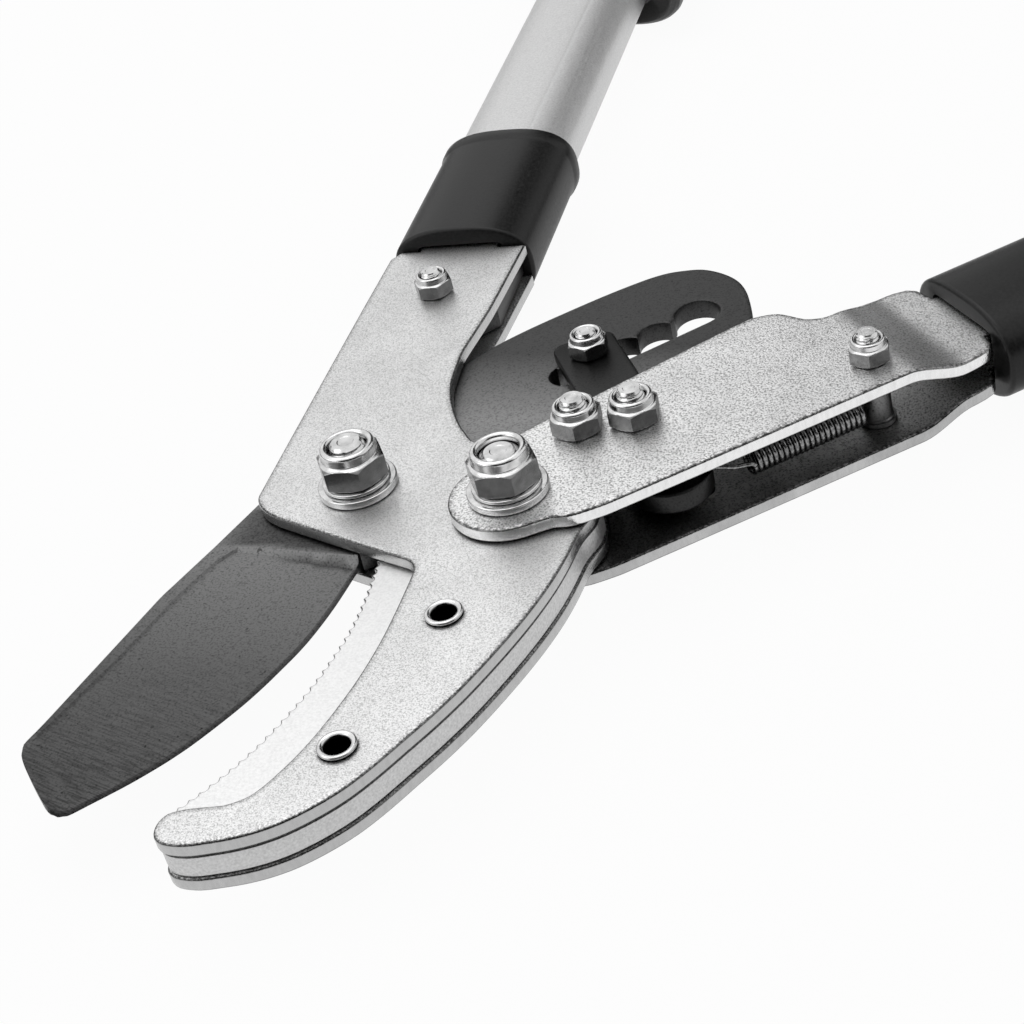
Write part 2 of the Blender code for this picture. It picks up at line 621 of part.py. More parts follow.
def make_lever_plate(name, side, material, parent):
    """One lever plate, bent in towards the middle plane where it enters the tube."""
    holes = [
        circle(0.0, 0.0, PIVOT_BOLT_DIAMETER / 2 + SHANK_CLEARANCE),
        circle(LINK_PIVOT_ALONG, LINK_PIVOT_SIDE, LEVER_BOLT_DIAMETER / 2 + SHANK_CLEARANCE),
        circle(STOP_ALONG, STOP_SIDE, LEVER_BOLT_DIAMETER / 2 + SHANK_CLEARANCE),
        circle(ANCHOR_ALONG, ANCHOR_SIDE, SMALL_BOLT_DIAMETER / 2 + SHANK_CLEARANCE),
        circle(SLEEVE_START + TUBE_PIN_INSET, LEVER_HANDLE_OFFSET, TUBE_PIN_DIAMETER / 2 + SHANK_CLEARANCE),
    ]
    low, high = sorted((side * LEVER_INNER, side * LEVER_OUTER))
    outline, cuts = lever_plate_outline()
    rings = [(outline, [level] * len(outline)) for level in (low, high)]
    bm = plate_mesh(rings, holes, cuts)
    for vert in bm.verts:
        vert.co.z -= side * (LEVER_INNER - PLATE_INNER) * bend_share(vert.co.x)
    return finish(name, bm, material, parent)


def make_lever_spacer(material, parent):
    """Block between the lever plates' ends, inside the tube."""
    neck = LEVER_TANG_WIDTH / 2
    start = TANG_SHOULDER + 4.0 * MM
    end = TANG_SHOULDER + TANG_LENGTH
    low = LEVER_HANDLE_OFFSET - neck
    high = LEVER_HANDLE_OFFSET + neck
    outline = [(start, low), (end, low), (end, high), (start, high)]
    pin = TUBE_PIN_DIAMETER / 2 + SHANK_CLEARANCE
    holes = [circle(SLEEVE_START + TUBE_PIN_INSET, LEVER_HANDLE_OFFSET, pin)]
    return make_plate("lever_tang_spacer", outline, -BLADE_TOP, BLADE_TOP, holes, material, parent)


def capsule(start, start_radius, end, end_radius, steps=8):
    """Outline of two round ends joined by straight sides."""
    run = math.degrees(math.atan2(end[1] - start[1], end[0] - start[0]))
    far = arc(end[0], end[1], end_radius, run - 90, run + 90, steps)
    near = arc(start[0], start[1], start_radius, run + 90, run + 270, steps)
    return far + near


def link_pin_place():
    """The link pin's centre, from the link pivot along the lever's directions."""
    return (LINK_LENGTH * math.cos(LINK_TILT), LINK_LENGTH * math.sin(LINK_TILT))


def link_plate_outline(pin):
    """Link plate: round at the link pivot, square with rounded corners past the pin."""
    run = math.degrees(LINK_TILT)
    reach = LINK_PIN_END_RADIUS - LINK_CORNER
    points = []
    for side in (-1, 1):
        x = pin[0] + reach * math.cos(LINK_TILT) - side * reach * math.sin(LINK_TILT)
        y = pin[1] + reach * math.sin(LINK_TILT) + side * reach * math.cos(LINK_TILT)
        first = run - 90 if side < 0 else run
        points += arc(x, y, LINK_CORNER, first, first + 90, 4)
    return points + arc(0.0, 0.0, LINK_PIVOT_END_RADIUS, run + 90, run + 270, 8)


def make_link(materials, parent):
    """Ratchet link: two plates over the blade's tail and a tail block for the spring's hook."""
    pin = link_pin_place()
    outline = link_plate_outline(pin)
    pivot_hole = circle(0.0, 0.0, LEVER_BOLT_DIAMETER / 2 + SHANK_CLEARANCE)
    holes = [pivot_hole, circle(pin[0], pin[1], SMALL_BOLT_DIAMETER / 2 + SHANK_CLEARANCE)]
    steel = materials["dark_steel"]
    make_plate("link_plate_top", outline, PLATE_INNER, LINK_OUTER, holes, steel, parent)
    make_plate("link_plate_bottom", outline, -LINK_OUTER, -PLATE_INNER, holes, steel, parent)
    tail = (LINK_TAIL_ALONG, LINK_TAIL_SIDE)
    block = capsule((0.0, 0.0), LINK_PIVOT_END_RADIUS, tail, LINK_TAIL_RADIUS, 12)
    block_holes = [pivot_hole, circle(HOOK_ALONG, HOOK_SIDE, HOOK_HOLE_DIAMETER / 2, 12)]
    make_plate("link_tail_block", block, -BLADE_TOP, BLADE_TOP, block_holes, steel, parent)
    small = (SMALL_BOLT_DIAMETER, SMALL_FLATS, SMALL_NUT_HEIGHT, SMALL_HEAD_HEIGHT)
    bolt_set("link_pin", pin[0], pin[1], LINK_OUTER, 0.0, 0.5 * MM, small, materials["zinc"], parent)
    make_washer("link_pin_bush", pin[0], pin[1], -BLADE_TOP, BLADE_THICKNESS, PIN_BUSH_DIAMETER,
                SMALL_BOLT_DIAMETER, materials["dark_steel"], parent)


def make_spring(material, parent):
    """Tension spring from the link's tail to the anchor sleeve, one unbroken wire."""
    radius = SPRING_MEAN_DIAMETER / 2
    steps = SPRING_TURNS * POINTS_PER_TURN
    hook_x = LINK_PIVOT_ALONG + HOOK_ALONG
    hook_y = LINK_PIVOT_SIDE + HOOK_SIDE
    over = BLADE_TOP + SEAT + SPRING_WIRE / 2
    hook = [(hook_x, hook_y, 0.0), (hook_x, hook_y, over - 1.2 * MM),
            (hook_x + 0.4 * MM, hook_y, over - 0.3 * MM), (hook_x + 1.4 * MM, hook_y, over),
            (hook_x + 4.6 * MM, hook_y - 0.4 * MM, over)]
    helix = []
    for step in range(steps + 1):
        angle = FULL_TURN * step / POINTS_PER_TURN + math.pi / 2
        along = SPRING_START + SPRING_PITCH * step / POINTS_PER_TURN
        helix.append((along, SPRING_SIDE + radius * math.cos(angle), radius * math.sin(angle)))
    seat = ANCHOR_ALONG - ANCHOR_SLEEVE_DIAMETER / 2 - SEAT
    tail = [(seat - 1.6 * MM, ANCHOR_SIDE, radius * 0.8), (seat, ANCHOR_SIDE, radius * 0.8)]
    path = hook + helix + tail
    curve = bpy.data.curves.new("return_spring", "CURVE")
    curve.dimensions = "3D"
    curve.bevel_depth = SPRING_WIRE / 2
    curve.bevel_resolution = 1
    curve.use_fill_caps = True
    spline = curve.splines.new("POLY")
    spline.points.add(len(path) - 1)
    for point, place in zip(spline.points, path):
        point.co = (*place, 1.0)
    curve.materials.append(material)
    item = bpy.data.objects.new("return_spring", curve)
    bpy.context.collection.objects.link(item)
    item.parent = parent
    points = np.array(path)
    apart = np.linalg.norm(points[:, None] - points[None], axis=2)
    index = np.arange(len(points))
    far = np.abs(index[:, None] - index[None]) > POINTS_PER_TURN // 2
    print("spring's least gap to itself, mm:", round((apart[far].min() - SPRING_WIRE) / MM, 3))
    return item


def section(station, width, height, side=0.0, squareness=SQUARENESS):
    """Oval handle section at a station: |y/a|^n + |z/b|^n = 1, wound about the handle."""
    ring = []
    for step in range(SECTION_POINTS):
        angle = FULL_TURN * step / SECTION_POINTS
        c = math.cos(angle)
        s = math.sin(angle)
        y = width / 2 * math.copysign(abs(c) ** (2 / squareness), c)
        z = height / 2 * math.copysign(abs(s) ** (2 / squareness), s)
        ring.append((station, side + y, z))
    return ring


def make_tube(name, start, length, width, height, wall, material, parent):
    """Plain oval tube, open at both ends."""
    inner = (width - 2 * wall, height - 2 * wall)
    rings = [section(start, *inner), section(start, width, height)]
    rings += [section(start + length, width, height), section(start + length, *inner)]
    return finish(name, ring_mesh(rings, True), material, parent)


def make_sleeve(name, material, parent):
    """Rubber sleeve over the tube's end, its front wall closed round the tang."""
    inner = (TUBE_WIDTH + 2 * SLIDE_CLEARANCE, TUBE_HEIGHT + 2 * SLIDE_CLEARANCE)
    outer = (inner[0] + 2 * SLEEVE_WALL, inner[1] + 2 * SLEEVE_WALL)
    lip = (outer[0] + 2 * SLEEVE_LIP, outer[1] + 2 * SLEEVE_LIP)
    mouth = (TANG_NECK_WIDTH + 2 * MOUTH_CLEARANCE, 2 * PLATE_OUTER + 2 * MOUTH_CLEARANCE)
    end = SLEEVE_START + SLEEVE_LENGTH
    wall = SLEEVE_START + SLEEVE_FRONT_WALL
    round_in = 2 * SLEEVE_ROUND * 0.3
    rings = [
        section(SLEEVE_START, *mouth, squareness=MOUTH_SQUARENESS),
        section(SLEEVE_START, outer[0] - 2 * SLEEVE_ROUND, outer[1] - 2 * SLEEVE_ROUND),
        section(SLEEVE_START + SLEEVE_ROUND * 0.3, outer[0] - round_in, outer[1] - round_in),
        section(SLEEVE_START + SLEEVE_ROUND, *outer),
        section(end - 5.0 * MM, *outer),
        section(end - 2.5 * MM, *lip),
        section(end, *lip),
        section(end, *inner),
        section(wall, *inner),
        section(wall, *mouth, squareness=MOUTH_SQUARENESS),
    ]
    return finish(name, ring_mesh(rings, True), material, parent)


def slanted(ring, side):
    """The ring leaned back across the handle: later by COLLAR_SLANT on the given side."""
    return [(x + COLLAR_SLANT * (0.5 + side * y / COLLAR_WIDTH), y, z) for x, y, z in ring]


def collar_step():
    """Station of the step inside the collar that the outer tube stops against."""
    return COLLAR_START + COLLAR_SLANT + COLLAR_LIP_DEPTH + 3.0 * MM


def make_collar(name, button_side, material, parent):
    """Lock collar on the outer tube's front end, with a slanted, recessed mouth and a button pocket."""
    bore = (TUBE_WIDTH + 2 * SLIDE_CLEARANCE, TUBE_HEIGHT + 2 * SLIDE_CLEARANCE)
    grown = 2 * OUTER_TUBE_WALL + 2 * SLIDE_CLEARANCE
    seat = (bore[0] + grown, bore[1] + grown)
    end = COLLAR_START + COLLAR_LENGTH
    mouth = (COLLAR_WIDTH - 2 * COLLAR_ROUND, COLLAR_HEIGHT - 2 * COLLAR_ROUND * 0.5)
    front = [
        section(COLLAR_START + COLLAR_LIP_DEPTH, *bore),
        section(COLLAR_START + 1.0 * MM, mouth[0], mouth[1]),
        section(COLLAR_START, mouth[0] + COLLAR_ROUND * 0.7, mouth[1] + COLLAR_ROUND * 0.35),
        section(COLLAR_START + COLLAR_ROUND * 0.4, COLLAR_WIDTH - COLLAR_ROUND * 0.3,
                COLLAR_HEIGHT - 0.6 * MM),
        section(COLLAR_START + COLLAR_ROUND, COLLAR_WIDTH, COLLAR_HEIGHT),
    ]
    rings = [slanted(ring, button_side) for ring in front] + [
        section(end - COLLAR_ROUND * 2, COLLAR_WIDTH, COLLAR_HEIGHT),
        section(end, seat[0] + 3.0 * MM, seat[1] + 3.0 * MM),
        section(end, *seat),
        section(collar_step(), *seat),
        section(collar_step(), *bore),
    ]
    collar = finish(name, ring_mesh(rings, True), material, parent)
    floor = COLLAR_WIDTH / 2 + BUTTON_PROUD - BUTTON_LENGTH - BUTTON_TRAVEL - SLIDE_CLEARANCE
    pocket_radius = BUTTON_DIAMETER / 2 + SLIDE_CLEARANCE
    pocket = side_cylinder(name + "_pocket", button_side, floor, COLLAR_WIDTH, pocket_radius,
                           material, parent)
    pocket.hide_render = True
    pocket.display_type = "WIRE"
    cut = collar.modifiers.new("button_pocket", "BOOLEAN")
    cut.operation = "DIFFERENCE"
    cut.solver = "EXACT"
    cut.object = pocket
    return collar


def side_cylinder(name, side, near, far, radius, material, parent):
    """Round bar across the handle at the lock button's station, from near to far of the axis."""
    station = COLLAR_START + BUTTON_ALONG
    dome = radius * 0.12
    rings = []
    for reach, size in ((near, radius), (far - dome, radius), (far, radius - dome)):
        ring = []
        for step in range(ROUND_SIDES):
            angle = FULL_TURN * step / ROUND_SIDES
            ring.append((station + size * math.cos(angle), side * reach, size * math.sin(angle)))
        rings.append(ring)
    return finish(name, ring_mesh(rings, False), material, parent)


def make_grip(name, start, material, parent):
    """Soft grip with flared ends, a drawn-in waist and finger ridges."""
    tube = outer_tube_size()
    bore = (tube[0] + 2 * SLIDE_CLEARANCE, tube[1] + 2 * SLIDE_CLEARANCE)
    end = start + GRIP_LENGTH
    flare = 8.0 * MM
    rings = [section(start, *bore)]
    rings.append(section(start, bore[0] + 3.0 * MM, bore[1] + 3.0 * MM))
    rings.append(section(start + flare, GRIP_WIDTH, GRIP_HEIGHT))
    steps = GRIP_RIDGES * 2
    for step in range(1, steps):
        station = start + flare + (GRIP_LENGTH - 2 * flare) * step / steps
        draw = 2 * GRIP_WAIST * (0.5 if step % 2 == 0 else 1.0)
        rings.append(section(station, GRIP_WIDTH - draw, GRIP_HEIGHT - draw))
    rings.append(section(end - flare, GRIP_WIDTH, GRIP_HEIGHT))
    rings.append(section(end, GRIP_WIDTH - 4.0 * MM, GRIP_HEIGHT - 4.0 * MM))
    rings.append(section(end, *bore))
    return finish(name, ring_mesh(rings, True), material, parent)


def outer_tube_size():
    """Width and height of the sliding outer tube."""
    grown = 2 * SLIDE_CLEARANCE + 2 * OUTER_TUBE_WALL
    return (TUBE_WIDTH + grown, TUBE_HEIGHT + grown)


def make_handle(prefix, button_side, materials, parent):
    """Tube with its sleeve, and the sliding outer tube with collar, lock button, grip and cap."""
    tube_start = SLEEVE_START + SLEEVE_FRONT_WALL + SEAT
    pin_station = SLEEVE_START + TUBE_PIN_INSET
    make_sleeve(prefix + "_front_sleeve", materials["rubber"], parent)
    tube = make_tube(prefix + "_inner_tube", tube_start, INNER_TUBE_LENGTH, TUBE_WIDTH, TUBE_HEIGHT,
                     TUBE_WALL, materials["aluminium"], parent)
    pin_length = TUBE_HEIGHT - 2 * SEAT
    pin_rings = [upright_ring(pin_station, 0.0, level, TUBE_PIN_DIAMETER / 2)
                 for level in (-pin_length / 2, pin_length / 2)]
    finish(prefix + "_tube_pin", ring_mesh(pin_rings, False), materials["zinc"], parent)
    bore_rings = [upright_ring(pin_station, 0.0, level, TUBE_PIN_DIAMETER / 2 + SHANK_CLEARANCE)
                  for level in (-TUBE_HEIGHT, TUBE_HEIGHT)]
    bore = finish(prefix + "_tube_pin_bore", ring_mesh(bore_rings, False), materials["zinc"], parent)
    bore.hide_render = True
    bore.display_type = "WIRE"
    cut = tube.modifiers.new("pin_bore", "BOOLEAN")
    cut.operation = "DIFFERENCE"
    cut.solver = "EXACT"
    cut.object = bore
    make_collar(prefix + "_lock_collar", button_side, materials["black_plastic"], parent)
    reach = COLLAR_WIDTH / 2 + BUTTON_PROUD
    side_cylinder(prefix + "_lock_button", button_side, reach - BUTTON_LENGTH, reach, BUTTON_DIAMETER / 2,
                  materials["grey_plastic"], parent)
    outer_start = collar_step() + SEAT
    size = outer_tube_size()
    make_tube(prefix + "_outer_tube", outer_start, OUTER_TUBE_LENGTH, size[0], size[1], OUTER_TUBE_WALL,
              materials["black_paint"], parent)
    end = outer_start + OUTER_TUBE_LENGTH
    make_grip(prefix + "_grip", end - GRIP_LENGTH, materials["rubber"], parent)
    shrunk = 2 * OUTER_TUBE_WALL + 2 * SLIDE_CLEARANCE
    plug = (size[0] - shrunk, size[1] - shrunk)
    flange = (GRIP_WIDTH - 3.0 * MM, GRIP_HEIGHT - 3.0 * MM)
    rings = [section(end - CAP_PLUG_LENGTH, *plug), section(end + SEAT, *plug), section(end + SEAT, *flange),
             section(end + CAP_FLANGE * 0.6, *flange),
             section(end + CAP_FLANGE, flange[0] - 3.0 * MM, flange[1] - 3.0 * MM)]
    finish(prefix + "_end_cap", ring_mesh(rings, False), materials["black_plastic"], parent)


def pivot_stack(name, x, y, face, proud, materials, parent):
    """Main pivot: bolt from below, washers on both sides, and a lock nut on top."""
    zinc = materials["zinc"]
    washer = PIVOT_WASHER_THICKNESS + SEAT
    make_washer(name + "_washer_bottom", x, y, -face - washer, PIVOT_WASHER_THICKNESS, PIVOT_WASHER_DIAMETER,
                PIVOT_BOLT_DIAMETER, zinc, parent)
    make_washer(name + "_washer_top", x, y, face + SEAT, PIVOT_WASHER_THICKNESS, PIVOT_WASHER_DIAMETER,
                PIVOT_BOLT_DIAMETER, zinc, parent)
    thin = face + washer + SEAT
    make_washer(name + "_thin_washer", x, y, thin, THIN_WASHER_THICKNESS, THIN_WASHER_DIAMETER,
                PIVOT_BOLT_DIAMETER, zinc, parent)
    nut = thin + THIN_WASHER_THICKNESS + SEAT
    make_bolt(name + "_bolt", x, y, -face - washer - SEAT, nut + PIVOT_NUT_HEIGHT + proud, PIVOT_FLATS,
              PIVOT_HEAD_HEIGHT, PIVOT_BOLT_DIAMETER, zinc, parent)
    make_nut(name + "_nut", x, y, nut, PIVOT_FLATS, PIVOT_NUT_HEIGHT, PIVOT_BOLT_DIAMETER, zinc, parent)


def make_materials():
    """Finishes of the tool."""
    return {
        "zinc": make_material("zinc", (0.72, 0.72, 0.73), 0.34, 1.0),
        "plate_zinc": make_material("plate_zinc", (0.66, 0.66, 0.67), 0.42, 1.0),
        "dark_steel": make_material("dark_steel", (0.09, 0.09, 0.09), 0.5, 0.6),
        "anvil": make_material("anvil", (0.78, 0.78, 0.78), 0.45, 0.8),
        "spring_steel": make_material("spring_steel", (0.2, 0.2, 0.2), 0.3, 1.0),
        "aluminium": make_material("aluminium", (0.75, 0.75, 0.76), 0.35, 1.0),
        "rubber": make_material("rubber", (0.03, 0.03, 0.03), 0.6, 0.0),
        "black_plastic": make_material("black_plastic", (0.04, 0.04, 0.04), 0.4, 0.0),
        "grey_plastic": make_material("grey_plastic", (0.3, 0.3, 0.3), 0.45, 0.0),
        "black_paint": make_material("black_paint", (0.05, 0.05, 0.05), 0.35, 0.0),
    }


def build():
    """The whole tool at rest: jaws part open, ratchet in its first notch, handles drawn in."""
    clear_scene()
    materials = make_materials()
    anvil_pivot = make_empty("anvil_frame", 0.0, 0.0)
    blade_pivot = make_empty("blade_pivot", BLADE_PIVOT_X, BLADE_PIVOT_Y)
    lever_pivot = make_empty("lever_pivot", 0.0, 0.0, -math.pi / 2 - HANDLE_SPREAD)
    link_pivot = make_empty("link_pivot", LINK_PIVOT_ALONG, LINK_PIVOT_SIDE, 0.0, lever_pivot)
    anvil_handle = make_empty("anvil_handle", TANG_AXIS_X, 0.0, -math.pi / 2, anvil_pivot)
    lever_handle = make_empty("lever_handle", 0.0, LEVER_HANDLE_OFFSET, 0.0, lever_pivot)

    bolt_hole = PIVOT_BOLT_DIAMETER / 2 + SHANK_CLEARANCE
    small_hole = SMALL_BOLT_DIAMETER / 2 + SHANK_CLEARANCE
    eyelet_hole = EYELET_HOLE_DIAMETER / 2 + EYELET_WALL + SHANK_CLEARANCE
    plate_holes = [circle(0.0, 0.0, bolt_hole), circle(BLADE_PIVOT_X, BLADE_PIVOT_Y, bolt_hole)]
    plate_holes += [circle(x, y, eyelet_hole) for x, y in EYELET_PLACES]
    plate_holes.append(circle(TANG_BOLT_X, TANG_BOLT_Y, small_hole))
    pin_hole = TUBE_PIN_DIAMETER / 2 + SHANK_CLEARANCE
    plate_holes.append(circle(TANG_AXIS_X, -SLEEVE_START - TUBE_PIN_INSET, pin_hole))
    outline = anvil_plate_outline()
    plate_finish = materials["plate_zinc"]
    make_plate("anvil_plate_top", outline, PLATE_INNER, PLATE_OUTER, plate_holes, plate_finish, anvil_pivot)
    make_plate("anvil_plate_bottom", outline, -PLATE_OUTER, -PLATE_INNER, plate_holes, plate_finish,
               anvil_pivot)
    make_insert(materials["anvil"], anvil_pivot)
    for name, (x, y) in zip(("heel", "tip"), EYELET_PLACES):
        make_eyelet("eyelet_rivet_" + name, x, y, materials["zinc"], anvil_pivot)
    make_tang_spacer(materials["black_plastic"], anvil_pivot)
    pivot_stack("blade_pivot", BLADE_PIVOT_X, BLADE_PIVOT_Y, PLATE_OUTER, 0.6 * MM, materials, anvil_pivot)
    pivot_stack("lever_pivot", 0.0, 0.0, LEVER_OUTER, -0.8 * MM, materials, anvil_pivot)
    small = (SMALL_BOLT_DIAMETER, SMALL_FLATS, SMALL_NUT_HEIGHT, SMALL_HEAD_HEIGHT)
    middle = (LEVER_BOLT_DIAMETER, LEVER_FLATS, LEVER_NUT_HEIGHT, LEVER_HEAD_HEIGHT)
    zinc = materials["zinc"]
    bolt_set("tang", TANG_BOLT_X, TANG_BOLT_Y, PLATE_OUTER, 0.0, 0.8 * MM, small, zinc, anvil_pivot)

    make_blade(materials["dark_steel"], blade_pivot)

    make_lever_plate("lever_plate_top", 1, plate_finish, lever_pivot)
    make_lever_plate("lever_plate_bottom", -1, plate_finish, lever_pivot)
    make_lever_spacer(materials["black_plastic"], lever_pivot)
    bolt_set("link_pivot", LINK_PIVOT_ALONG, LINK_PIVOT_SIDE, LEVER_OUTER, 0.0, 1.5 * MM, middle,
             materials["zinc"], lever_pivot)
    bolt_set("stop", STOP_ALONG, STOP_SIDE, LEVER_OUTER, 0.0, 1.5 * MM, middle, zinc, lever_pivot)
    spacer_height = 2 * LEVER_INNER - 2 * SEAT
    bolt_set("spring_anchor", ANCHOR_ALONG, ANCHOR_SIDE, LEVER_OUTER, 0.0, 1.5 * MM, small,
             materials["zinc"], lever_pivot)
    bore = SMALL_BOLT_DIAMETER / 2 + SHANK_CLEARANCE
    low = -spacer_height / 2
    flange_top = low + ANCHOR_FLANGE_HEIGHT
    sleeve_rings = [
        upright_ring(ANCHOR_ALONG, ANCHOR_SIDE, low, bore),
        upright_ring(ANCHOR_ALONG, ANCHOR_SIDE, low, ANCHOR_FLANGE_DIAMETER / 2),
        upright_ring(ANCHOR_ALONG, ANCHOR_SIDE, flange_top, ANCHOR_FLANGE_DIAMETER / 2),
        upright_ring(ANCHOR_ALONG, ANCHOR_SIDE, flange_top, ANCHOR_SLEEVE_DIAMETER / 2),
        upright_ring(ANCHOR_ALONG, ANCHOR_SIDE, -low, ANCHOR_SLEEVE_DIAMETER / 2),
        upright_ring(ANCHOR_ALONG, ANCHOR_SIDE, -low, bore),
    ]
    finish("spring_anchor_sleeve", ring_mesh(sleeve_rings, True), materials["dark_steel"], lever_pivot)
    make_spring(materials["spring_steel"], lever_pivot)

    make_link(materials, link_pivot)
    make_handle("anvil", 1, materials, anvil_handle)
    make_handle("lever", -1, materials, lever_handle)


build()
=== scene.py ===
"""Looks of the ratchet anvil lopper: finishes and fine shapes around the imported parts."""
import json
import math

import bpy
import numpy as np
from mathutils import Matrix, Vector
from mathutils.geometry import delaunay_2d_cdt


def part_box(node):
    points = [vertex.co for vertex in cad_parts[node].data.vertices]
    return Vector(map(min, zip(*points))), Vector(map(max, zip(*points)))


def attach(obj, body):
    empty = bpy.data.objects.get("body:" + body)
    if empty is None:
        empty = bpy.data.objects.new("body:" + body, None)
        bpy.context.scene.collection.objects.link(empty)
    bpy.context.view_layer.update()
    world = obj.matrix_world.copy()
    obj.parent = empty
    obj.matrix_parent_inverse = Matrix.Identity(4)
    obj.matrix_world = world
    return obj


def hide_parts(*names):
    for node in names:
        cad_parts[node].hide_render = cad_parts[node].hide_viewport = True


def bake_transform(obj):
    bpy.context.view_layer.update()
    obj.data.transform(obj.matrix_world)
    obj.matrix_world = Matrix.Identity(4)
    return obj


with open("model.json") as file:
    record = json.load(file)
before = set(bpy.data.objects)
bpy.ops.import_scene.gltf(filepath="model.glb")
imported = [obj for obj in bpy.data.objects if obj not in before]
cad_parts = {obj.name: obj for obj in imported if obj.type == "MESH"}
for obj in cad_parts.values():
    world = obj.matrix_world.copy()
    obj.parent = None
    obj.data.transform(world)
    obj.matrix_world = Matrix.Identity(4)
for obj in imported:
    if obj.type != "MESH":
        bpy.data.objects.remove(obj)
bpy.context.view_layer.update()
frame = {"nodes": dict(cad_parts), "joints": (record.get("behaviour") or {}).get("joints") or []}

# Studio: the tool lies on a white table in a light tent, with dark flags that show in the metal only.
# The camera stands low over the jaws and leans, as a hand-held product shot does.
MM = 0.001
CAMERA_PLACE = Vector((-136.0, 332.7, 271.4)) * MM
CAMERA_AIM = Vector((-0.5, 2.3, 22.0)) * MM
CAMERA_ROLL = math.radians(-14.72)
CAMERA_NEAR = 10.0 * MM
FOCAL_PIXELS = 2200.0
PICTURE_PIXELS = 1024.0
SENSOR_WIDTH = 36.0
camera_data = bpy.data.cameras.new("camera")
camera_data.sensor_width = SENSOR_WIDTH
camera_data.lens = FOCAL_PIXELS / PICTURE_PIXELS * SENSOR_WIDTH
camera_data.clip_start = CAMERA_NEAR
camera = bpy.data.objects.new("camera", camera_data)
bpy.context.collection.objects.link(camera)
aim = (CAMERA_AIM - CAMERA_PLACE).to_track_quat("-Z", "Y").to_matrix()
leaned = aim @ Matrix.Rotation(CAMERA_ROLL, 3, "Z")
camera.matrix_world = Matrix.Translation(CAMERA_PLACE) @ leaned.to_4x4()
bpy.context.scene.camera = camera
bpy.context.scene.view_settings.view_transform = "Standard"


def new_finish(name, colour, roughness, metallic):
    """A material with one Principled shader; returns the material, its nodes, links and shader."""
    finish = bpy.data.materials.new(name)
    finish.use_nodes = True
    nodes = finish.node_tree.nodes
    shader = nodes["Principled BSDF"]
    shader.inputs["Base Color"].default_value = (colour, colour, colour, 1.0)
    shader.inputs["Roughness"].default_value = roughness
    shader.inputs["Metallic"].default_value = metallic
    return finish, nodes, finish.node_tree.links, shader


def background_share(nodes, links):
    """1 for rays that look at the background: from the camera, or by way of a mirror or glass."""
    path = nodes.new("ShaderNodeLightPath")
    first = nodes.new("ShaderNodeMath")
    first.operation = "MAXIMUM"
    second = nodes.new("ShaderNodeMath")
    second.operation = "MAXIMUM"
    links.new(path.outputs["Is Camera Ray"], first.inputs[0])
    links.new(path.outputs["Is Glossy Ray"], first.inputs[1])
    links.new(first.outputs[0], second.inputs[0])
    links.new(path.outputs["Is Transmission Ray"], second.inputs[1])
    return second.outputs[0]


TENT_LIGHT = 0.5
world = bpy.data.worlds.new("light_tent")
world.use_nodes = True
bpy.context.scene.world = world
tent_nodes = world.node_tree.nodes
tent_links = world.node_tree.links
tent = tent_nodes["Background"]
tent.inputs["Color"].default_value = (1.0, 1.0, 1.0, 1.0)
tent_level = tent_nodes.new("ShaderNodeMapRange")
tent_level.inputs["To Min"].default_value = TENT_LIGHT
tent_level.inputs["To Max"].default_value = 1.0
tent_links.new(background_share(tent_nodes, tent_links), tent_level.inputs["Value"])
tent_links.new(tent_level.outputs["Result"], tent.inputs["Strength"])

TABLE_REACH = 6.0
TABLE_DROP = 0.2 * MM
TABLE_TONE = 0.86
TABLE_GLOW = 0.95
table_mesh = bpy.data.meshes.new("table")
table_corners = [(x * TABLE_REACH, y * TABLE_REACH, 0.0) for x, y in ((-1, -1), (1, -1), (1, 1), (-1, 1))]
table_mesh.from_pydata(table_corners, [], [(0, 1, 2, 3)])
table = bpy.data.objects.new("table", table_mesh)
table.location.z = -TABLE_DROP
bpy.context.collection.objects.link(table)
white, nodes, links, shader = new_finish("white_table", TABLE_TONE, 0.9, 0.0)
shader.inputs["Specular IOR Level"].default_value = 0.0
glow = nodes.new("ShaderNodeEmission")
glow_mix = nodes.new("ShaderNodeMixShader")
glow_share = nodes.new("ShaderNodeMath")
glow_share.operation = "MULTIPLY"
glow_share.inputs[1].default_value = TABLE_GLOW
links.new(background_share(nodes, links), glow_share.inputs[0])
links.new(glow_share.outputs[0], glow_mix.inputs["Fac"])
links.new(shader.outputs[0], glow_mix.inputs[1])
links.new(glow.outputs[0], glow_mix.inputs[2])
links.new(glow_mix.outputs[0], nodes["Material Output"].inputs["Surface"])
table_mesh.materials.append(white)


def soft_box(name, place, width, power):
    """A square soft light that faces the tool's middle."""
    light = bpy.data.lights.new(name, "AREA")
    light.size = width
    light.energy = power
    item = bpy.data.objects.new(name, light)
    item.location = place
    item.rotation_euler = (-Vector(place)).to_track_quat("-Z", "Y").to_euler()
    bpy.context.collection.objects.link(item)


soft_box("overhead", (0.25, -0.25, 1.1), 0.9, 3.0)
soft_box("side", (0.9, 0.5, 0.7), 0.75, 1.6)

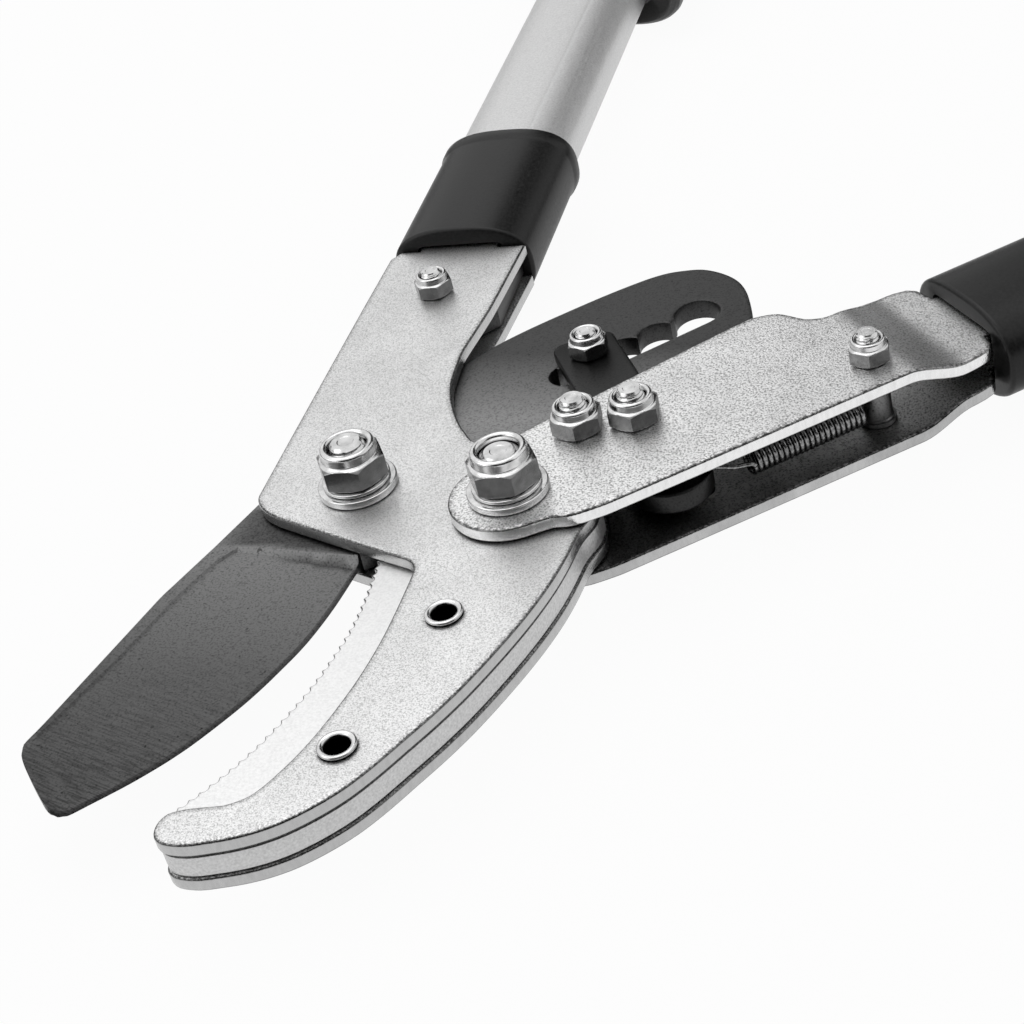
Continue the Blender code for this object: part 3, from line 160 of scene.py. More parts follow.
FLAG_RADIUS = 1.7
FLAG_LOW = 0.28
FLAG_HIGH = 2.0
FLAG_SIDES = 120
FLAG_DEGREES = (-122, -114, -88, -80, 60, 75, 150, 165)
flag_turn = np.linspace(-np.pi, np.pi, FLAG_SIDES, endpoint=False)
flag_ring = np.stack([FLAG_RADIUS * np.cos(flag_turn), FLAG_RADIUS * np.sin(flag_turn)], axis=1)
flag_levels = [FLAG_LOW, FLAG_HIGH, FLAG_HIGH, FLAG_LOW] * 2
flag_top = np.interp(np.degrees(flag_turn), FLAG_DEGREES, flag_levels)
flag_points = np.concatenate([np.column_stack([flag_ring, level]) for level in (flag_top * 0.0, flag_top)])
flag_step = np.arange(FLAG_SIDES)
flag_next = (flag_step + 1) % FLAG_SIDES
flag_faces = np.stack([flag_step, flag_next, flag_next + FLAG_SIDES, flag_step + FLAG_SIDES], axis=1)
flag_mesh = bpy.data.meshes.new("dark_flags")
flag_mesh.from_pydata(flag_points.tolist(), [], flag_faces.tolist())
flags = bpy.data.objects.new("dark_flags", flag_mesh)
bpy.context.collection.objects.link(flags)
flag_mesh.materials.append(new_finish("black_felt", 0.02, 1.0, 0.0)[0])
flags.visible_camera = False
flags.visible_diffuse = False
flags.visible_shadow = False

# Anvil jaw: two stamped steel plates, barrel zinc plated, with sheared edges.
# They carry the pivots and run back as a tang into the left handle.
PLATE_ROUND = 0.5 * MM
PLATE_RIM = 0.9 * MM
PLATE_CORNER = math.radians(55)
PLAIN_CORNER = math.radians(34)
NET_SPACING = 2.4 * MM
LINE_MARGIN = 0.2 * MM


def upper_loops(node, facing=0.85):
    """Outline and holes of a CAD node's upper face, outline first, in plan.

    The face is made of the triangles whose normal has at least the facing as its upright share. An
    edge that only one of them has is part of a loop. Points where a loop folds back are left out.
    """
    mesh = frame["nodes"][node].data
    mesh.calc_loop_triangles()
    corners = np.empty(len(mesh.vertices) * 3)
    mesh.vertices.foreach_get("co", corners)
    triangles = np.empty(len(mesh.loop_triangles) * 3, int)
    mesh.loop_triangles.foreach_get("vertices", triangles)
    corners, which = np.unique(np.round(corners.reshape(-1, 3), 6), axis=0, return_inverse=True)
    triangles = which.reshape(-1)[triangles].reshape(-1, 3)
    a, b, c = (corners[triangles[:, k]] for k in range(3))
    normal = np.cross(b - a, c - a)
    kept = triangles[normal[:, 2] > facing * np.linalg.norm(normal, axis=1)]
    runs = np.concatenate([kept[:, [0, 1]], kept[:, [1, 2]], kept[:, [2, 0]]]).tolist()
    present = set(map(tuple, runs))
    follows = {a: b for a, b in runs if (b, a) not in present}
    loops = []
    while follows:
        start, point = follows.popitem()
        loop = [start]
        while point != start:
            loop.append(point)
            point = follows.pop(point)
        plan = corners[loop][:, :2]
        back, ahead = (np.roll(plan, shift, axis=0) - plan for shift in (1, -1))
        lengths = np.linalg.norm(back, axis=1) * np.linalg.norm(ahead, axis=1)
        folded = np.sum(back * ahead, axis=1) > 0.95 * lengths
        loops.append(plan[~folded])
    return sorted(loops, key=lambda loop: -np.ptp(loop[:, 0]) * np.ptp(loop[:, 1]))


def smooth_loop(loop, corner=PLAIN_CORNER, rounds=2):
    """Closed line made finer by the four-point rule, with its corners kept.

    A new point is (9 (p1 + p2) - p0 - p3) / 16 between p1 and p2, or halfway beside a corner. The
    outer points p0 and p3 are brought in to the length of p1 to p2 where they lie further off.
    """
    for _ in range(rounds):
        p0, p1, p2, p3 = (np.roll(loop, shift, axis=0) for shift in (1, 0, -1, -2))
        steps = [q - p for p, q in ((p0, p1), (p1, p2), (p2, p3))]
        lengths = [np.linalg.norm(step, axis=1) for step in steps]
        heading = [np.arctan2(step[:, 1], step[:, 0]) for step in steps]
        turns = [np.abs((b - a + np.pi) % (2 * np.pi) - np.pi) for a, b in zip(heading, heading[1:])]
        even = (turns[0] < corner) & (turns[1] < corner)
        before = p1 - steps[0] * np.minimum(1.0, lengths[1] / lengths[0])[:, None]
        beyond = p2 + steps[2] * np.minimum(1.0, lengths[1] / lengths[2])[:, None]
        between = np.where(even[:, None], (9 * (p1 + p2) - before - beyond) / 16, (p1 + p2) / 2)
        loop = np.stack([p1, between], axis=1).reshape(-1, 2)
    return loop


def inward_normals(loop):
    """Normals to the left of a closed line, which is the metal's side, longer at its corners."""
    ahead = np.roll(loop, -1, axis=0) - loop
    ahead /= np.linalg.norm(ahead, axis=1)[:, None]
    mean = ahead + np.roll(ahead, 1, axis=0)
    mean /= np.linalg.norm(mean, axis=1)[:, None]
    stretch = np.clip(np.sum(mean * ahead, axis=1), 0.6, 1.0)[:, None]
    return np.stack([-mean[:, 1], mean[:, 0]], axis=1) / stretch


def loop_distance(points, loop):
    """Distance from each point to the nearest edge of a closed line."""
    step = np.roll(loop, -1, axis=0) - loop
    reach = points[:, None] - loop[None]
    share = np.clip(np.sum(reach * step, axis=2) / np.sum(step * step, axis=1), 0.0, 1.0)
    return np.min(np.linalg.norm(reach - share[:, :, None] * step, axis=2), axis=1)


def inset_scale(loop, normals, depth):
    """How much of the depth each point can move in before it nears another stretch of its line.

    A point that ends nearer to the line than 0.86 of its move goes back by a fifth, up to 16 times.
    """
    scale = np.ones(len(loop))
    busy = np.arange(len(loop))
    for _ in range(16):
        reach = depth * scale[busy]
        moved = loop[busy] + normals[busy] * reach[:, None]
        busy = busy[loop_distance(moved, loop) < 0.86 * reach]
        scale[busy] *= 0.8
    return scale


def within(points, loops):
    """Which points lie in the metal: an odd number of loop edges to their right."""
    crossings = np.zeros(len(points), int)
    x, y = points[:, :1], points[:, 1:]
    for loop in loops:
        a, b = loop, np.roll(loop, -1, axis=0)
        spans = (a[:, 1] > y) != (b[:, 1] > y)
        rise = np.where(b[:, 1] == a[:, 1], 1.0, b[:, 1] - a[:, 1])
        meet = a[:, 0] + (y - a[:, 1]) / rise * (b[:, 0] - a[:, 0])
        crossings += np.sum(spans & (meet > x), axis=1)
    return crossings % 2 == 1


def nearest(points, others):
    """Distance in plan from each point to the nearest of the others, taken as complex numbers."""
    return np.min(np.abs((points @ (1, 1j))[:, None] - (others @ (1, 1j))[None]), axis=1)


def face_net(rims, spacing, lines):
    """Net that fills a face between its rims: the points it adds, and triangles that turn left.

    The added points are those of the lines, a square grid that keeps off them and the rims, and those
    made where edges cross. Triangles count the rims' points first and the added ones after.
    """
    rim_points = np.concatenate(rims)
    drawn = np.concatenate([np.zeros((0, 2)), *lines])
    drawn = drawn[within(drawn, rims)]
    drawn = drawn[nearest(drawn, rim_points) > LINE_MARGIN]
    across, up = (np.arange(rim_points[:, k].min(), rim_points[:, k].max(), spacing) for k in (0, 1))
    grid = np.stack(np.meshgrid(across, up), axis=-1).reshape(-1, 2)
    grid = grid[within(grid, rims)]
    grid = grid[nearest(grid, np.concatenate([rim_points, drawn])) > spacing * 0.45]
    edges = []
    first = 0
    for rim in rims:
        index = np.arange(len(rim))
        edges.append(np.stack([first + index, first + (index + 1) % len(rim)], axis=1))
        first += len(rim)
    given = np.concatenate([rim_points, drawn, grid])
    joined = delaunay_2d_cdt([Vector(point) for point in given], np.concatenate(edges).tolist(), [], 0, 1e-9)
    place = np.array(joined[0])
    triangles = np.array(joined[2])
    origin = np.array([sources[0] if sources else -1 for sources in joined[3]])
    made = origin < 0
    origin[made] = len(given) + np.arange(made.sum())
    triangles = triangles[within(place[triangles].mean(axis=1), rims)]
    corners = place[triangles]
    turn = np.cross(corners[:, 1] - corners[:, 0], corners[:, 2] - corners[:, 0])
    triangles[turn < 0] = triangles[turn < 0][:, ::-1]
    return np.concatenate([drawn, grid, place[made]]), origin[triangles]


def plate_profile(low, high, rounding, rim):
    """Section of a plate's edge, from the lower face round to the upper: distance in, level and marks.

    Quarter circles join the faces to the side. The rim mark is 1 from the edge to half of the rim's
    width, the wall mark on the cut side and the edge mark on the quarter circles.
    """
    quarter = np.linspace(0.0, np.pi / 2, 4)
    inset = rounding * (1 - np.sin(quarter))
    lift = rounding * (1 - np.cos(quarter))
    deepest = rounding + rim
    depth = np.concatenate([[deepest], inset, [0.0], inset[::-1], [deepest]])
    level = np.concatenate([[low], low + lift, [(low + high) / 2], high - lift[::-1], [high]])
    marks = {
        "rim": depth < rounding + rim * 0.5,
        "wall": depth < rounding * 0.2,
        "edge": (depth > rounding * 0.05) & (depth < rounding * 0.95),
    }
    return depth, level, marks


def ring_faces(rings, count, closed):
    """Quads between successive rings of a grid; the last ring joins the first where closed."""
    last = rings if closed else rings - 1
    ring, step = np.meshgrid(np.arange(last), np.arange(count), indexing="ij")
    next_ring = (ring + 1) % rings
    after = (step + 1) % count
    quads = [ring * count + step, ring * count + after, next_ring * count + after, next_ring * count + step]
    return np.stack(quads, axis=-1).reshape(-1, 4)


def plate_arrays(loops, low, high, rounding, rim, spacing, lines=()):
    """Plate between two levels with rounded edges: points, faces, marks and inward push.

    Each loop is carried through the edge's profile, and a net that takes in the given lines fills the
    two faces. The push is the inward normal on the rim and 0 on the faces.
    """
    depth, level, profile_marks = plate_profile(low, high, rounding, rim)
    points = []
    faces = []
    pushes = []
    rims = []
    starts = []
    marks = {mark: [] for mark in profile_marks}
    start = 0
    for loop in loops:
        count = len(loop)
        normals = inward_normals(loop)
        reach = inset_scale(loop, normals, depth[0])
        rings = loop + normals * depth[:, None, None] * reach[:, None]
        points.append(np.dstack([rings, np.repeat(level[:, None], count, axis=1)]).reshape(-1, 3))
        faces.append(ring_faces(len(depth), count, False) + start)
        for mark, values in profile_marks.items():
            marks[mark].append(np.repeat(values.astype(float), count))
        pushes.append(np.tile(normals, (len(depth), 1)) * marks["rim"][-1][:, None])
        rims.append(rings[0])
        starts.append(start)
        start += len(depth) * count
    net, triangles = face_net(rims, spacing, lines)
    for ring, height in ((0, low), (len(depth) - 1, high)):
        rim_index = [first + ring * len(loop) + np.arange(len(loop)) for first, loop in zip(starts, loops)]
        index = np.concatenate([*rim_index, start + np.arange(len(net))])
        points.append(np.column_stack([net, np.full(len(net), height)]))
        faces.append(index[triangles] if ring else index[triangles][:, ::-1])
        for values in marks.values():
            values.append(np.zeros(len(net)))
        pushes.append(np.zeros((len(net), 2)))
        start += len(net)
    marks = {mark: np.concatenate(values) for mark, values in marks.items()}
    return np.concatenate(points), faces, marks, np.concatenate(pushes)


def node_plate(node, rounding, rim, corner=PLAIN_CORNER):
    """Plate with a CAD node's outline and levels, its edges rounded: points, faces and marks."""
    low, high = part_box(node)
    loops = [smooth_loop(loop, corner) for loop in upper_loops(node)]
    return plate_arrays(loops, low[2], high[2], rounding, rim, NET_SPACING)[:3]


def make_mesh(name, points, faces, finish, sharp=math.radians(40), marks=None):
    """Mesh object from arrays, in the scene and not yet riding on a body; marks are its attributes."""
    mesh = bpy.data.meshes.new(name)
    mesh.from_pydata(points.tolist(), [], [face for group in faces for face in group.tolist()])
    mesh.shade_smooth()
    mesh.set_sharp_from_angle(angle=sharp)
    mesh.materials.append(finish)
    for mark, values in (marks or {}).items():
        mesh.attributes.new(mark, "FLOAT", "POINT").data.foreach_set("value", values.astype(np.float32))
    item = bpy.data.objects.new(name, mesh)
    bpy.context.collection.objects.link(item)
    return item


def put_on(item, body, slot, *nodes):
    """Piece rides on a body, in place of the CAD nodes. The slot is not used."""
    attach(item, body)
    if nodes:
        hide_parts(*nodes)
    return item


def object_noise(nodes, links, size, detail=2.0, stretch=(1.0, 1.0, 1.0), turn=0.0):
    """Noise of a given grain size on the piece's own coordinates, turned in plan and stretched."""
    place = nodes.new("ShaderNodeTexCoord")
    mapping = nodes.new("ShaderNodeMapping")
    mapping.vector_type = "TEXTURE"
    mapping.inputs["Rotation"].default_value = (0.0, 0.0, turn)
    mapping.inputs["Scale"].default_value = stretch
    noise = nodes.new("ShaderNodeTexNoise")
    noise.inputs["Scale"].default_value = 1.0 / size
    noise.inputs["Detail"].default_value = detail
    links.new(place.outputs["Object"], mapping.inputs["Vector"])
    links.new(mapping.outputs["Vector"], noise.inputs["Vector"])
    return noise.outputs["Fac"]


def ramp(nodes, links, source, stops):
    """Grey values along a source: pairs of place and value."""
    item = nodes.new("ShaderNodeValToRGB")
    elements = item.color_ramp.elements
    while len(elements) < len(stops):
        elements.new(0.5)
    for element, (place, value) in zip(elements, stops):
        element.position = place
        element.color = (value, value, value, 1.0)
    links.new(source, item.inputs["Fac"])
    return item.outputs["Color"]


def mix_colours(nodes, links, kind, share, first, second):
    """Mix of two colours; the share is a socket or a number."""
    mix = nodes.new("ShaderNodeMix")
    mix.data_type = "RGBA"
    mix.blend_type = kind
    if isinstance(share, float):
        mix.inputs["Factor"].default_value = share
    else:
        links.new(share, mix.inputs["Factor"])
    links.new(first, mix.inputs["A"])
    links.new(second, mix.inputs["B"])
    return mix.outputs["Result"]


def add_relief(nodes, links, shader, height, distance, strength):
    """Fine relief from a height socket."""
    relief = nodes.new("ShaderNodeBump")
    relief.inputs["Distance"].default_value = distance
    relief.inputs["Strength"].default_value = strength
    links.new(height, relief.inputs["Height"])
    links.new(relief.outputs["Normal"], shader.inputs["Normal"])


def mark_value(nodes, mark):
    """One of the piece's own attributes."""
    value = nodes.new("ShaderNodeAttribute")
    value.attribute_name = mark
    return value.outputs["Fac"]


def zinc_plate(name, grain, dark, light, rim_dark, cut):
    """Zinc-plated sheet: a fine crystal grain, faint clouds, a worn, speckled rim, smooth cut sides and
    painted shade on the rounded edges.

    The grain's noise runs from the dark tone to the light one, and the cut is the sides' tone. Where the
    inner painted shade mark is set, painted shade darkens the faces, in clouds.
    """
    finish, nodes, links, shader = new_finish(name, light, 0.4, 1.0)
    fine = object_noise(nodes, links, grain, 3.0)
    colour = ramp(nodes, links, fine, [(0.34, dark), (0.52, light), (0.7, min(light * 1.12, 1.0))])
    cloud = object_noise(nodes, links, 14 * MM, 3.0)
    patch = ramp(nodes, links, cloud, [(0.3, 0.88), (0.7, 1.0)])
    colour = mix_colours(nodes, links, "MULTIPLY", 1.0, colour, patch)
    speck = object_noise(nodes, links, grain * 1.6, 2.0)
    worn = ramp(nodes, links, speck, [(0.42, rim_dark), (0.58, 1.0)])
    colour = mix_colours(nodes, links, "MULTIPLY", mark_value(nodes, "rim"), colour, worn)
    wall = mark_value(nodes, "wall")
    sheared = object_noise(nodes, links, 0.9 * MM, 2.0, (1.0, 1.0, 3.0))
    cut_tone = ramp(nodes, links, sheared, [(0.3, cut * 0.85), (0.7, cut)])
    colour = mix_colours(nodes, links, "MIX", wall, colour, cut_tone)
    # Painted shade: the rounded edges go dark, speckled, as dark lines where stacked plates meet.
    edge_gap_shade = ramp(nodes, links, speck, [(0.35, 0.12), (0.65, 0.4)])
    colour = mix_colours(nodes, links, "MULTIPLY", mark_value(nodes, "edge"), colour, edge_gap_shade)
    # Painted shade on the faces between plates, in clouds.
    inner_shade_tone = ramp(nodes, links, cloud, [(0.3, 0.28), (0.7, 0.5)])
    colour = mix_colours(nodes, links, "MULTIPLY", mark_value(nodes, "inner_painted_shade"), colour, inner_shade_tone)
    links.new(colour, shader.inputs["Base Color"])
    dull = ramp(nodes, links, fine, [(0.25, 0.5), (0.75, 0.3)])
    polish = ramp(nodes, links, sheared, [(0.3, 0.14), (0.7, 0.28)])
    links.new(mix_colours(nodes, links, "MIX", wall, dull, polish), shader.inputs["Roughness"])
    add_relief(nodes, links, shader, fine, grain * 0.5, 0.35)
    return finish


anvil_zinc = zinc_plate("anvil_zinc", 0.28 * MM, dark=0.44, light=0.73, rim_dark=0.5, cut=0.5)
for side in ("top", "bottom"):
    node = "anvil_plate_" + side
    points, faces, marks = node_plate(node, PLATE_ROUND, PLATE_RIM, PLATE_CORNER)
    jaw = make_mesh("anvil_jaw_" + side, points, faces, anvil_zinc, marks=marks)
    put_on(jaw, "anvil_head", "plate_zinc", node)

# Serrated anvil: a pale cast strip held between the plates, which the blade closes on.
# Its edge is cut into small scallops so a branch doesn't slide out.
INSERT_ROUND = 0.3 * MM
INSERT_RIM = 0.3 * MM
SCALLOP_CORNER = math.radians(60)


def vary_roughness(nodes, links, shader, source, smooth, rough):
    """Roughness that follows a source between two values."""
    spread = nodes.new("ShaderNodeMapRange")
    spread.inputs["From Min"].default_value = 0.25
    spread.inputs["From Max"].default_value = 0.75
    spread.inputs["To Min"].default_value = smooth
    spread.inputs["To Max"].default_value = rough
    links.new(source, spread.inputs["Value"])
    links.new(spread.outputs["Result"], shader.inputs["Roughness"])


pale, nodes, links, shader = new_finish("pale_casting", 0.84, 0.42, 0.85)
pale_grain = object_noise(nodes, links, 0.5 * MM, 3.0)
pale_tone = ramp(nodes, links, pale_grain, [(0.3, 0.72), (0.55, 0.8), (0.8, 0.86)])
pale_wall = ramp(nodes, links, pale_grain, [(0.3, 0.5), (0.7, 0.72)])
pale_tone = mix_colours(nodes, links, "MIX", mark_value(nodes, "wall"), pale_tone, pale_wall)
# Painted shade: the rounded edges go near black, as dark lines where the strip meets the plates.
pale_gap_shade = ramp(nodes, links, pale_grain, [(0.3, 0.05), (0.7, 0.2)])
pale_tone = mix_colours(nodes, links, "MULTIPLY", mark_value(nodes, "edge"), pale_tone, pale_gap_shade)
links.new(pale_tone, shader.inputs["Base Color"])
vary_roughness(nodes, links, shader, pale_grain, 0.34, 0.5)
add_relief(nodes, links, shader, pale_grain, 0.1 * MM, 0.3)
low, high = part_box("anvil_insert")
outline, *holes = upper_loops("anvil_insert")
loops = [smooth_loop(outline, SCALLOP_CORNER)] + [smooth_loop(hole) for hole in holes]
points, faces, marks, _ = plate_arrays(loops, low[2], high[2], INSERT_ROUND, INSERT_RIM, NET_SPACING)
insert = make_mesh("serrated_anvil", points, faces, pale, marks=marks)
put_on(insert, "anvil_head", "anvil", "anvil_insert")

# Eyelets: turned steel rivets with a tube and rolled rims, which clamp the strip between the plates.
# The zinc on them is bright, and their holes go right through; painted shade darkens the bores.
EYELET_BORE = 2.4 * MM
EYELET_BARREL = 3.1 * MM
EYELET_RIM = 3.8 * MM
EYELET_RISE = 0.8 * MM
EYELET_THROAT = 0.9 * MM
EYELET_PAINTED_SHADE = 0.3 * MM
TURNED_SIDES = 72


def turned_arrays(centre, profile, flats=0.0, turn=0.0, closed=True, sides=TURNED_SIDES, thread=None):
    """Turned solid: the profile (radius, level) spun about an upright axis.

    With flats the radius is cut to a hexagon of that width, which rounds its corners through the
    profile's cones. A thread (from, to, pitch, depth) lowers the radius by a wave that climbs one
    pitch in each turn. An open profile starts and ends at the axis and gets a fan at each end.
    """
    angle = np.linspace(0.0, 2 * np.pi, sides, endpoint=False) + turn
    profile = np.asarray(profile)
    spread = np.repeat(profile[:, :1], sides, axis=1)
    height = np.repeat(profile[:, 1:], sides, axis=1)
    if flats:
        facet = (angle - turn) % (np.pi / 3) - np.pi / 6
        spread = np.minimum(spread, flats / 2 / np.cos(facet))
    if thread is not None:
        begin, end, pitch, depth = thread
        wave = 0.5 + 0.5 * np.cos(2 * np.pi * height / pitch - angle)
        threaded = (height > begin) & (height < end)
        spread = np.where(threaded, spread - depth * wave, spread)
    x = centre[0] + spread * np.cos(angle)
    y = centre[1] + spread * np.sin(angle)
    points = np.dstack([x, y, height]).reshape(-1, 3)
    rings = len(profile)
    faces = [ring_faces(rings, sides, closed)]
    if not closed:
        poles = [(centre[0], centre[1], profile[0, 1]), (centre[0], centre[1], profile[-1, 1])]
        points = np.concatenate([points, poles])
        step = np.arange(sides)
        after = (step + 1) % sides
        last = (rings - 1) * sides
        faces.append(np.stack([np.full(sides, rings * sides), after, step], axis=1))
        faces.append(np.stack([np.full(sides, rings * sides + 1), last + step, last + after], axis=1))
    return points, faces


def corner_arc(radius, level, size, begin, end, steps=5):
    """Round of a profile: points on a circle about (radius, level) between two angles in degrees."""
    angle = np.radians(np.linspace(begin, end, steps))
    return np.stack([radius + size * np.cos(angle), level + size * np.sin(angle)], axis=1)


def box_centre(low, high):
    """Middle of a box between its two corners."""
    return (np.array(low) + np.array(high)) / 2


bright, nodes, links, shader = new_finish("bright_zinc", 0.8, 0.2, 1.0)
bright_cloud = object_noise(nodes, links, 2.5 * MM, 4.0)
bright_tone = ramp(nodes, links, bright_cloud, [(0.3, 0.5), (0.5, 0.64), (0.7, 0.76)])
# Painted shade: the shade mark takes the zinc near black in recesses and bores, and partly on nut facets as
# a painted dark reflection.
bright_painted_shade = ramp(nodes, links, bright_cloud, [(0.3, 0.02), (0.7, 0.04)])
bright_tone = mix_colours(nodes, links, "MIX", mark_value(nodes, "shade"), bright_tone, bright_painted_shade)
links.new(bright_tone, shader.inputs["Base Color"])
bright_fine = object_noise(nodes, links, 0.35 * MM, 3.0)
vary_roughness(nodes, links, shader, bright_fine, 0.14, 0.28)
add_relief(nodes, links, shader, bright_fine, 0.05 * MM, 0.2)
for node in ("eyelet_rivet_heel", "eyelet_rivet_tip"):
    low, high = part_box(node)
    centre = box_centre(low, high)
    face = high[2] - EYELET_RISE
    bead = EYELET_RISE * 0.5
    roll = corner_arc(EYELET_RIM - bead, face + bead, bead, -90, 90, 7)
    throat = corner_arc(EYELET_BORE + EYELET_THROAT, high[2] - EYELET_THROAT, EYELET_THROAT, 95, 180, 6)
    upper = np.concatenate([[(EYELET_BARREL, face)], roll, throat])
    lower = upper[::-1] * (1.0, -1.0) + (0.0, 2 * centre[2])
    profile = np.concatenate([lower, upper])
    points, faces = turned_arrays(centre, profile)
    # Painted shade inside the bore.
    marks = {"shade": np.repeat(profile[:, 0] < EYELET_BORE + EYELET_PAINTED_SHADE, TURNED_SIDES)}
    put_on(make_mesh(node + "_turned", points, faces, bright, marks=marks), "anvil_head", "zinc", node)

# Blade: one plate of dark hardened steel, with its hub and the notched ratchet tail.
# Both faces are ground thin from the back to the edge, and the wheel left fine lines near the tip.
# Behind the grinding, and in a strip along the back, the plate keeps its thickness. Painted shadow darkens a
# band behind the grinding line, next to the jaw plate, and a painted dark line runs along the step's foot.
BLADE_ROUND = 0.3 * MM
BLADE_RIM = 0.7 * MM
BLADE_SPACING = 1.5 * MM
EDGE_HALF = 0.45 * MM
SPINE_HALF = 2.1 * MM
EDGE_BEVEL = 0.6 * MM
EDGE_LINE = np.array([(-4.6, 17.9), (-2.6, 32.2), (2.5, 50.5), (6.7, 60.1),
                      (13.7, 71.9), (24.9, 84.5), (31.0, 90.0)]) * MM
BACK_LINE = np.array([(28.3, 14.4), (34.5, 31.0), (44.2, 67.4), (46.2, 74.2), (46.2, 92.0)]) * MM
GRIND_LINE = np.array([(-9.0, 19.4), (-6.2, 19.0), (8.6, 17.0), (16.0, 15.6),
                       (23.0, 15.2), (33.0, 15.2)]) * MM
GRIND_STEPS = (2.6 * MM, 0.4 * MM)
STRIP_LINE = np.array([(23.0, 15.2), (26.6, 20.0), (31.0, 31.0), (36.6, 50.0),
                       (43.6, 70.0), (47.0, 76.0)]) * MM
STRIP_STEP = 0.5 * MM
LINE_SPACING = 0.5 * MM
PLATE_SHADOW_NEAR = (0.0, 1.4 * MM)
PLATE_SHADOW_FAR = (15.0 * MM, 12.0 * MM)
PLATE_SHADOW_ACROSS = (30.0 * MM, 22.0 * MM)
FOOT_SHADE_WIDTH = 0.1 * MM
FOOT_SHADE_ACROSS = (16.0 * MM, 7.0 * MM)
KEEN_HALVES = (1.2 * MM, 0.6 * MM)
KEEN_STAIN = 0.7
WHEEL_TURN = math.radians(-110)
joints = {joint["name"]: joint for joint in frame["joints"]}
low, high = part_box("blade")
full_half = (high[2] - low[2]) / 2
middle = (high[2] + low[2]) / 2
hub = np.array(joints["blade_swing"]["pos_m"])[:2]


def fade(value, begin, end):
    """0 to 1 as a value runs straight from one place to another, and level beyond both."""
    return np.clip((value - begin) / (end - begin), 0.0, 1.0)


def line_x(line, y):
    """Where a line of points crosses the given y."""
    return np.interp(y, line[:, 1], line[:, 0])


def line_y(line, x):
    """Where a line of points crosses the given x."""
    return np.interp(x, line[:, 0], line[:, 1])


def grind_step(x):
    """Width of the step at the grinding line, which narrows evenly towards the back."""
    return np.interp(x, GRIND_LINE[[0, -1], 0], GRIND_STEPS)


def blade_half(x, y):
    """Half thickness of the blade and its share of grinding, at places from its pivot.

    Ahead of the grinding line the half thickness runs straight from the edge's to the back's;
    behind the line it is the full plate, and the two meet in a sloped step, wider towards the edge.
    A narrow strip along the back is left at the full plate too.
    """
    across = fade(x, line_x(EDGE_LINE, y), line_x(BACK_LINE, y))
    ground = EDGE_HALF + (SPINE_HALF - EDGE_HALF) * across
    share = fade(y - line_y(GRIND_LINE, x), 0.0, grind_step(x))
    share = np.minimum(share, fade(line_x(STRIP_LINE, y) - x, 0.0, STRIP_STEP))
    return full_half + (ground - full_half) * share, share


loops = [smooth_loop(loop) for loop in upper_loops("blade", 0.05)]
grind_x = np.arange(GRIND_LINE[0, 0], GRIND_LINE[-1, 0], LINE_SPACING)
crest = np.stack([grind_x, line_y(GRIND_LINE, grind_x)], axis=1) + hub
foot = crest + np.stack([0.0 * grind_x, grind_step(grind_x)], axis=1)
strip_y = np.arange(STRIP_LINE[0, 1], STRIP_LINE[-1, 1], LINE_SPACING)
back_strip = np.stack([line_x(STRIP_LINE, strip_y), strip_y], axis=1) + hub
lines = [crest, foot, back_strip, back_strip - (STRIP_STEP, 0.0)]
points, faces, marks, push = plate_arrays(loops, low[2], high[2], BLADE_ROUND, BLADE_RIM,
                                          BLADE_SPACING, lines)
half, ground_share = blade_half(points[:, 0] - hub[0], points[:, 1] - hub[1])
level_share = (points[:, 2] - middle) / full_half
points[:, 2] = middle + level_share * half
across = points[:, 0] - hub[0]
behind = line_y(crest, points[:, 0]) - points[:, 1]
# Painted shadow of the jaw plate: a band behind the grinding line, fading out towards the blade's back.
plate_shadow_band = fade(behind, *PLATE_SHADOW_NEAR) * fade(behind, *PLATE_SHADOW_FAR) * fade(across, *PLATE_SHADOW_ACROSS)
# Painted shade: a dark line along the step's foot, fading out towards the back.
foot_shade = (np.abs(points[:, 1] - line_y(foot, points[:, 0])) < FOOT_SHADE_WIDTH) & (ground_share > 0.9)
foot_shade = foot_shade * fade(across, *FOOT_SHADE_ACROSS)
keen = fade(half, *KEEN_HALVES) * (ground_share > 0.5)
# The scale mark holds these painted shades and a dark stain along the keen edge.
marks["scale"] = np.maximum.reduce([foot_shade, plate_shadow_band, KEEN_STAIN * keen * marks["rim"]])
points[:, :2] += push * (np.abs(level_share) * keen * EDGE_BEVEL)[:, None]


def along_y(nodes, links, begin, end):
    """0 to 1 along the y of the piece's own coordinates, between two places."""
    place = nodes.new("ShaderNodeTexCoord")
    parts = nodes.new("ShaderNodeSeparateXYZ")
    spread = nodes.new("ShaderNodeMapRange")
    spread.inputs["From Min"].default_value = begin
    spread.inputs["From Max"].default_value = end
    links.new(place.outputs["Object"], parts.inputs["Vector"])
    links.new(parts.outputs["Y"], spread.inputs["Value"])
    return spread.outputs["Result"]


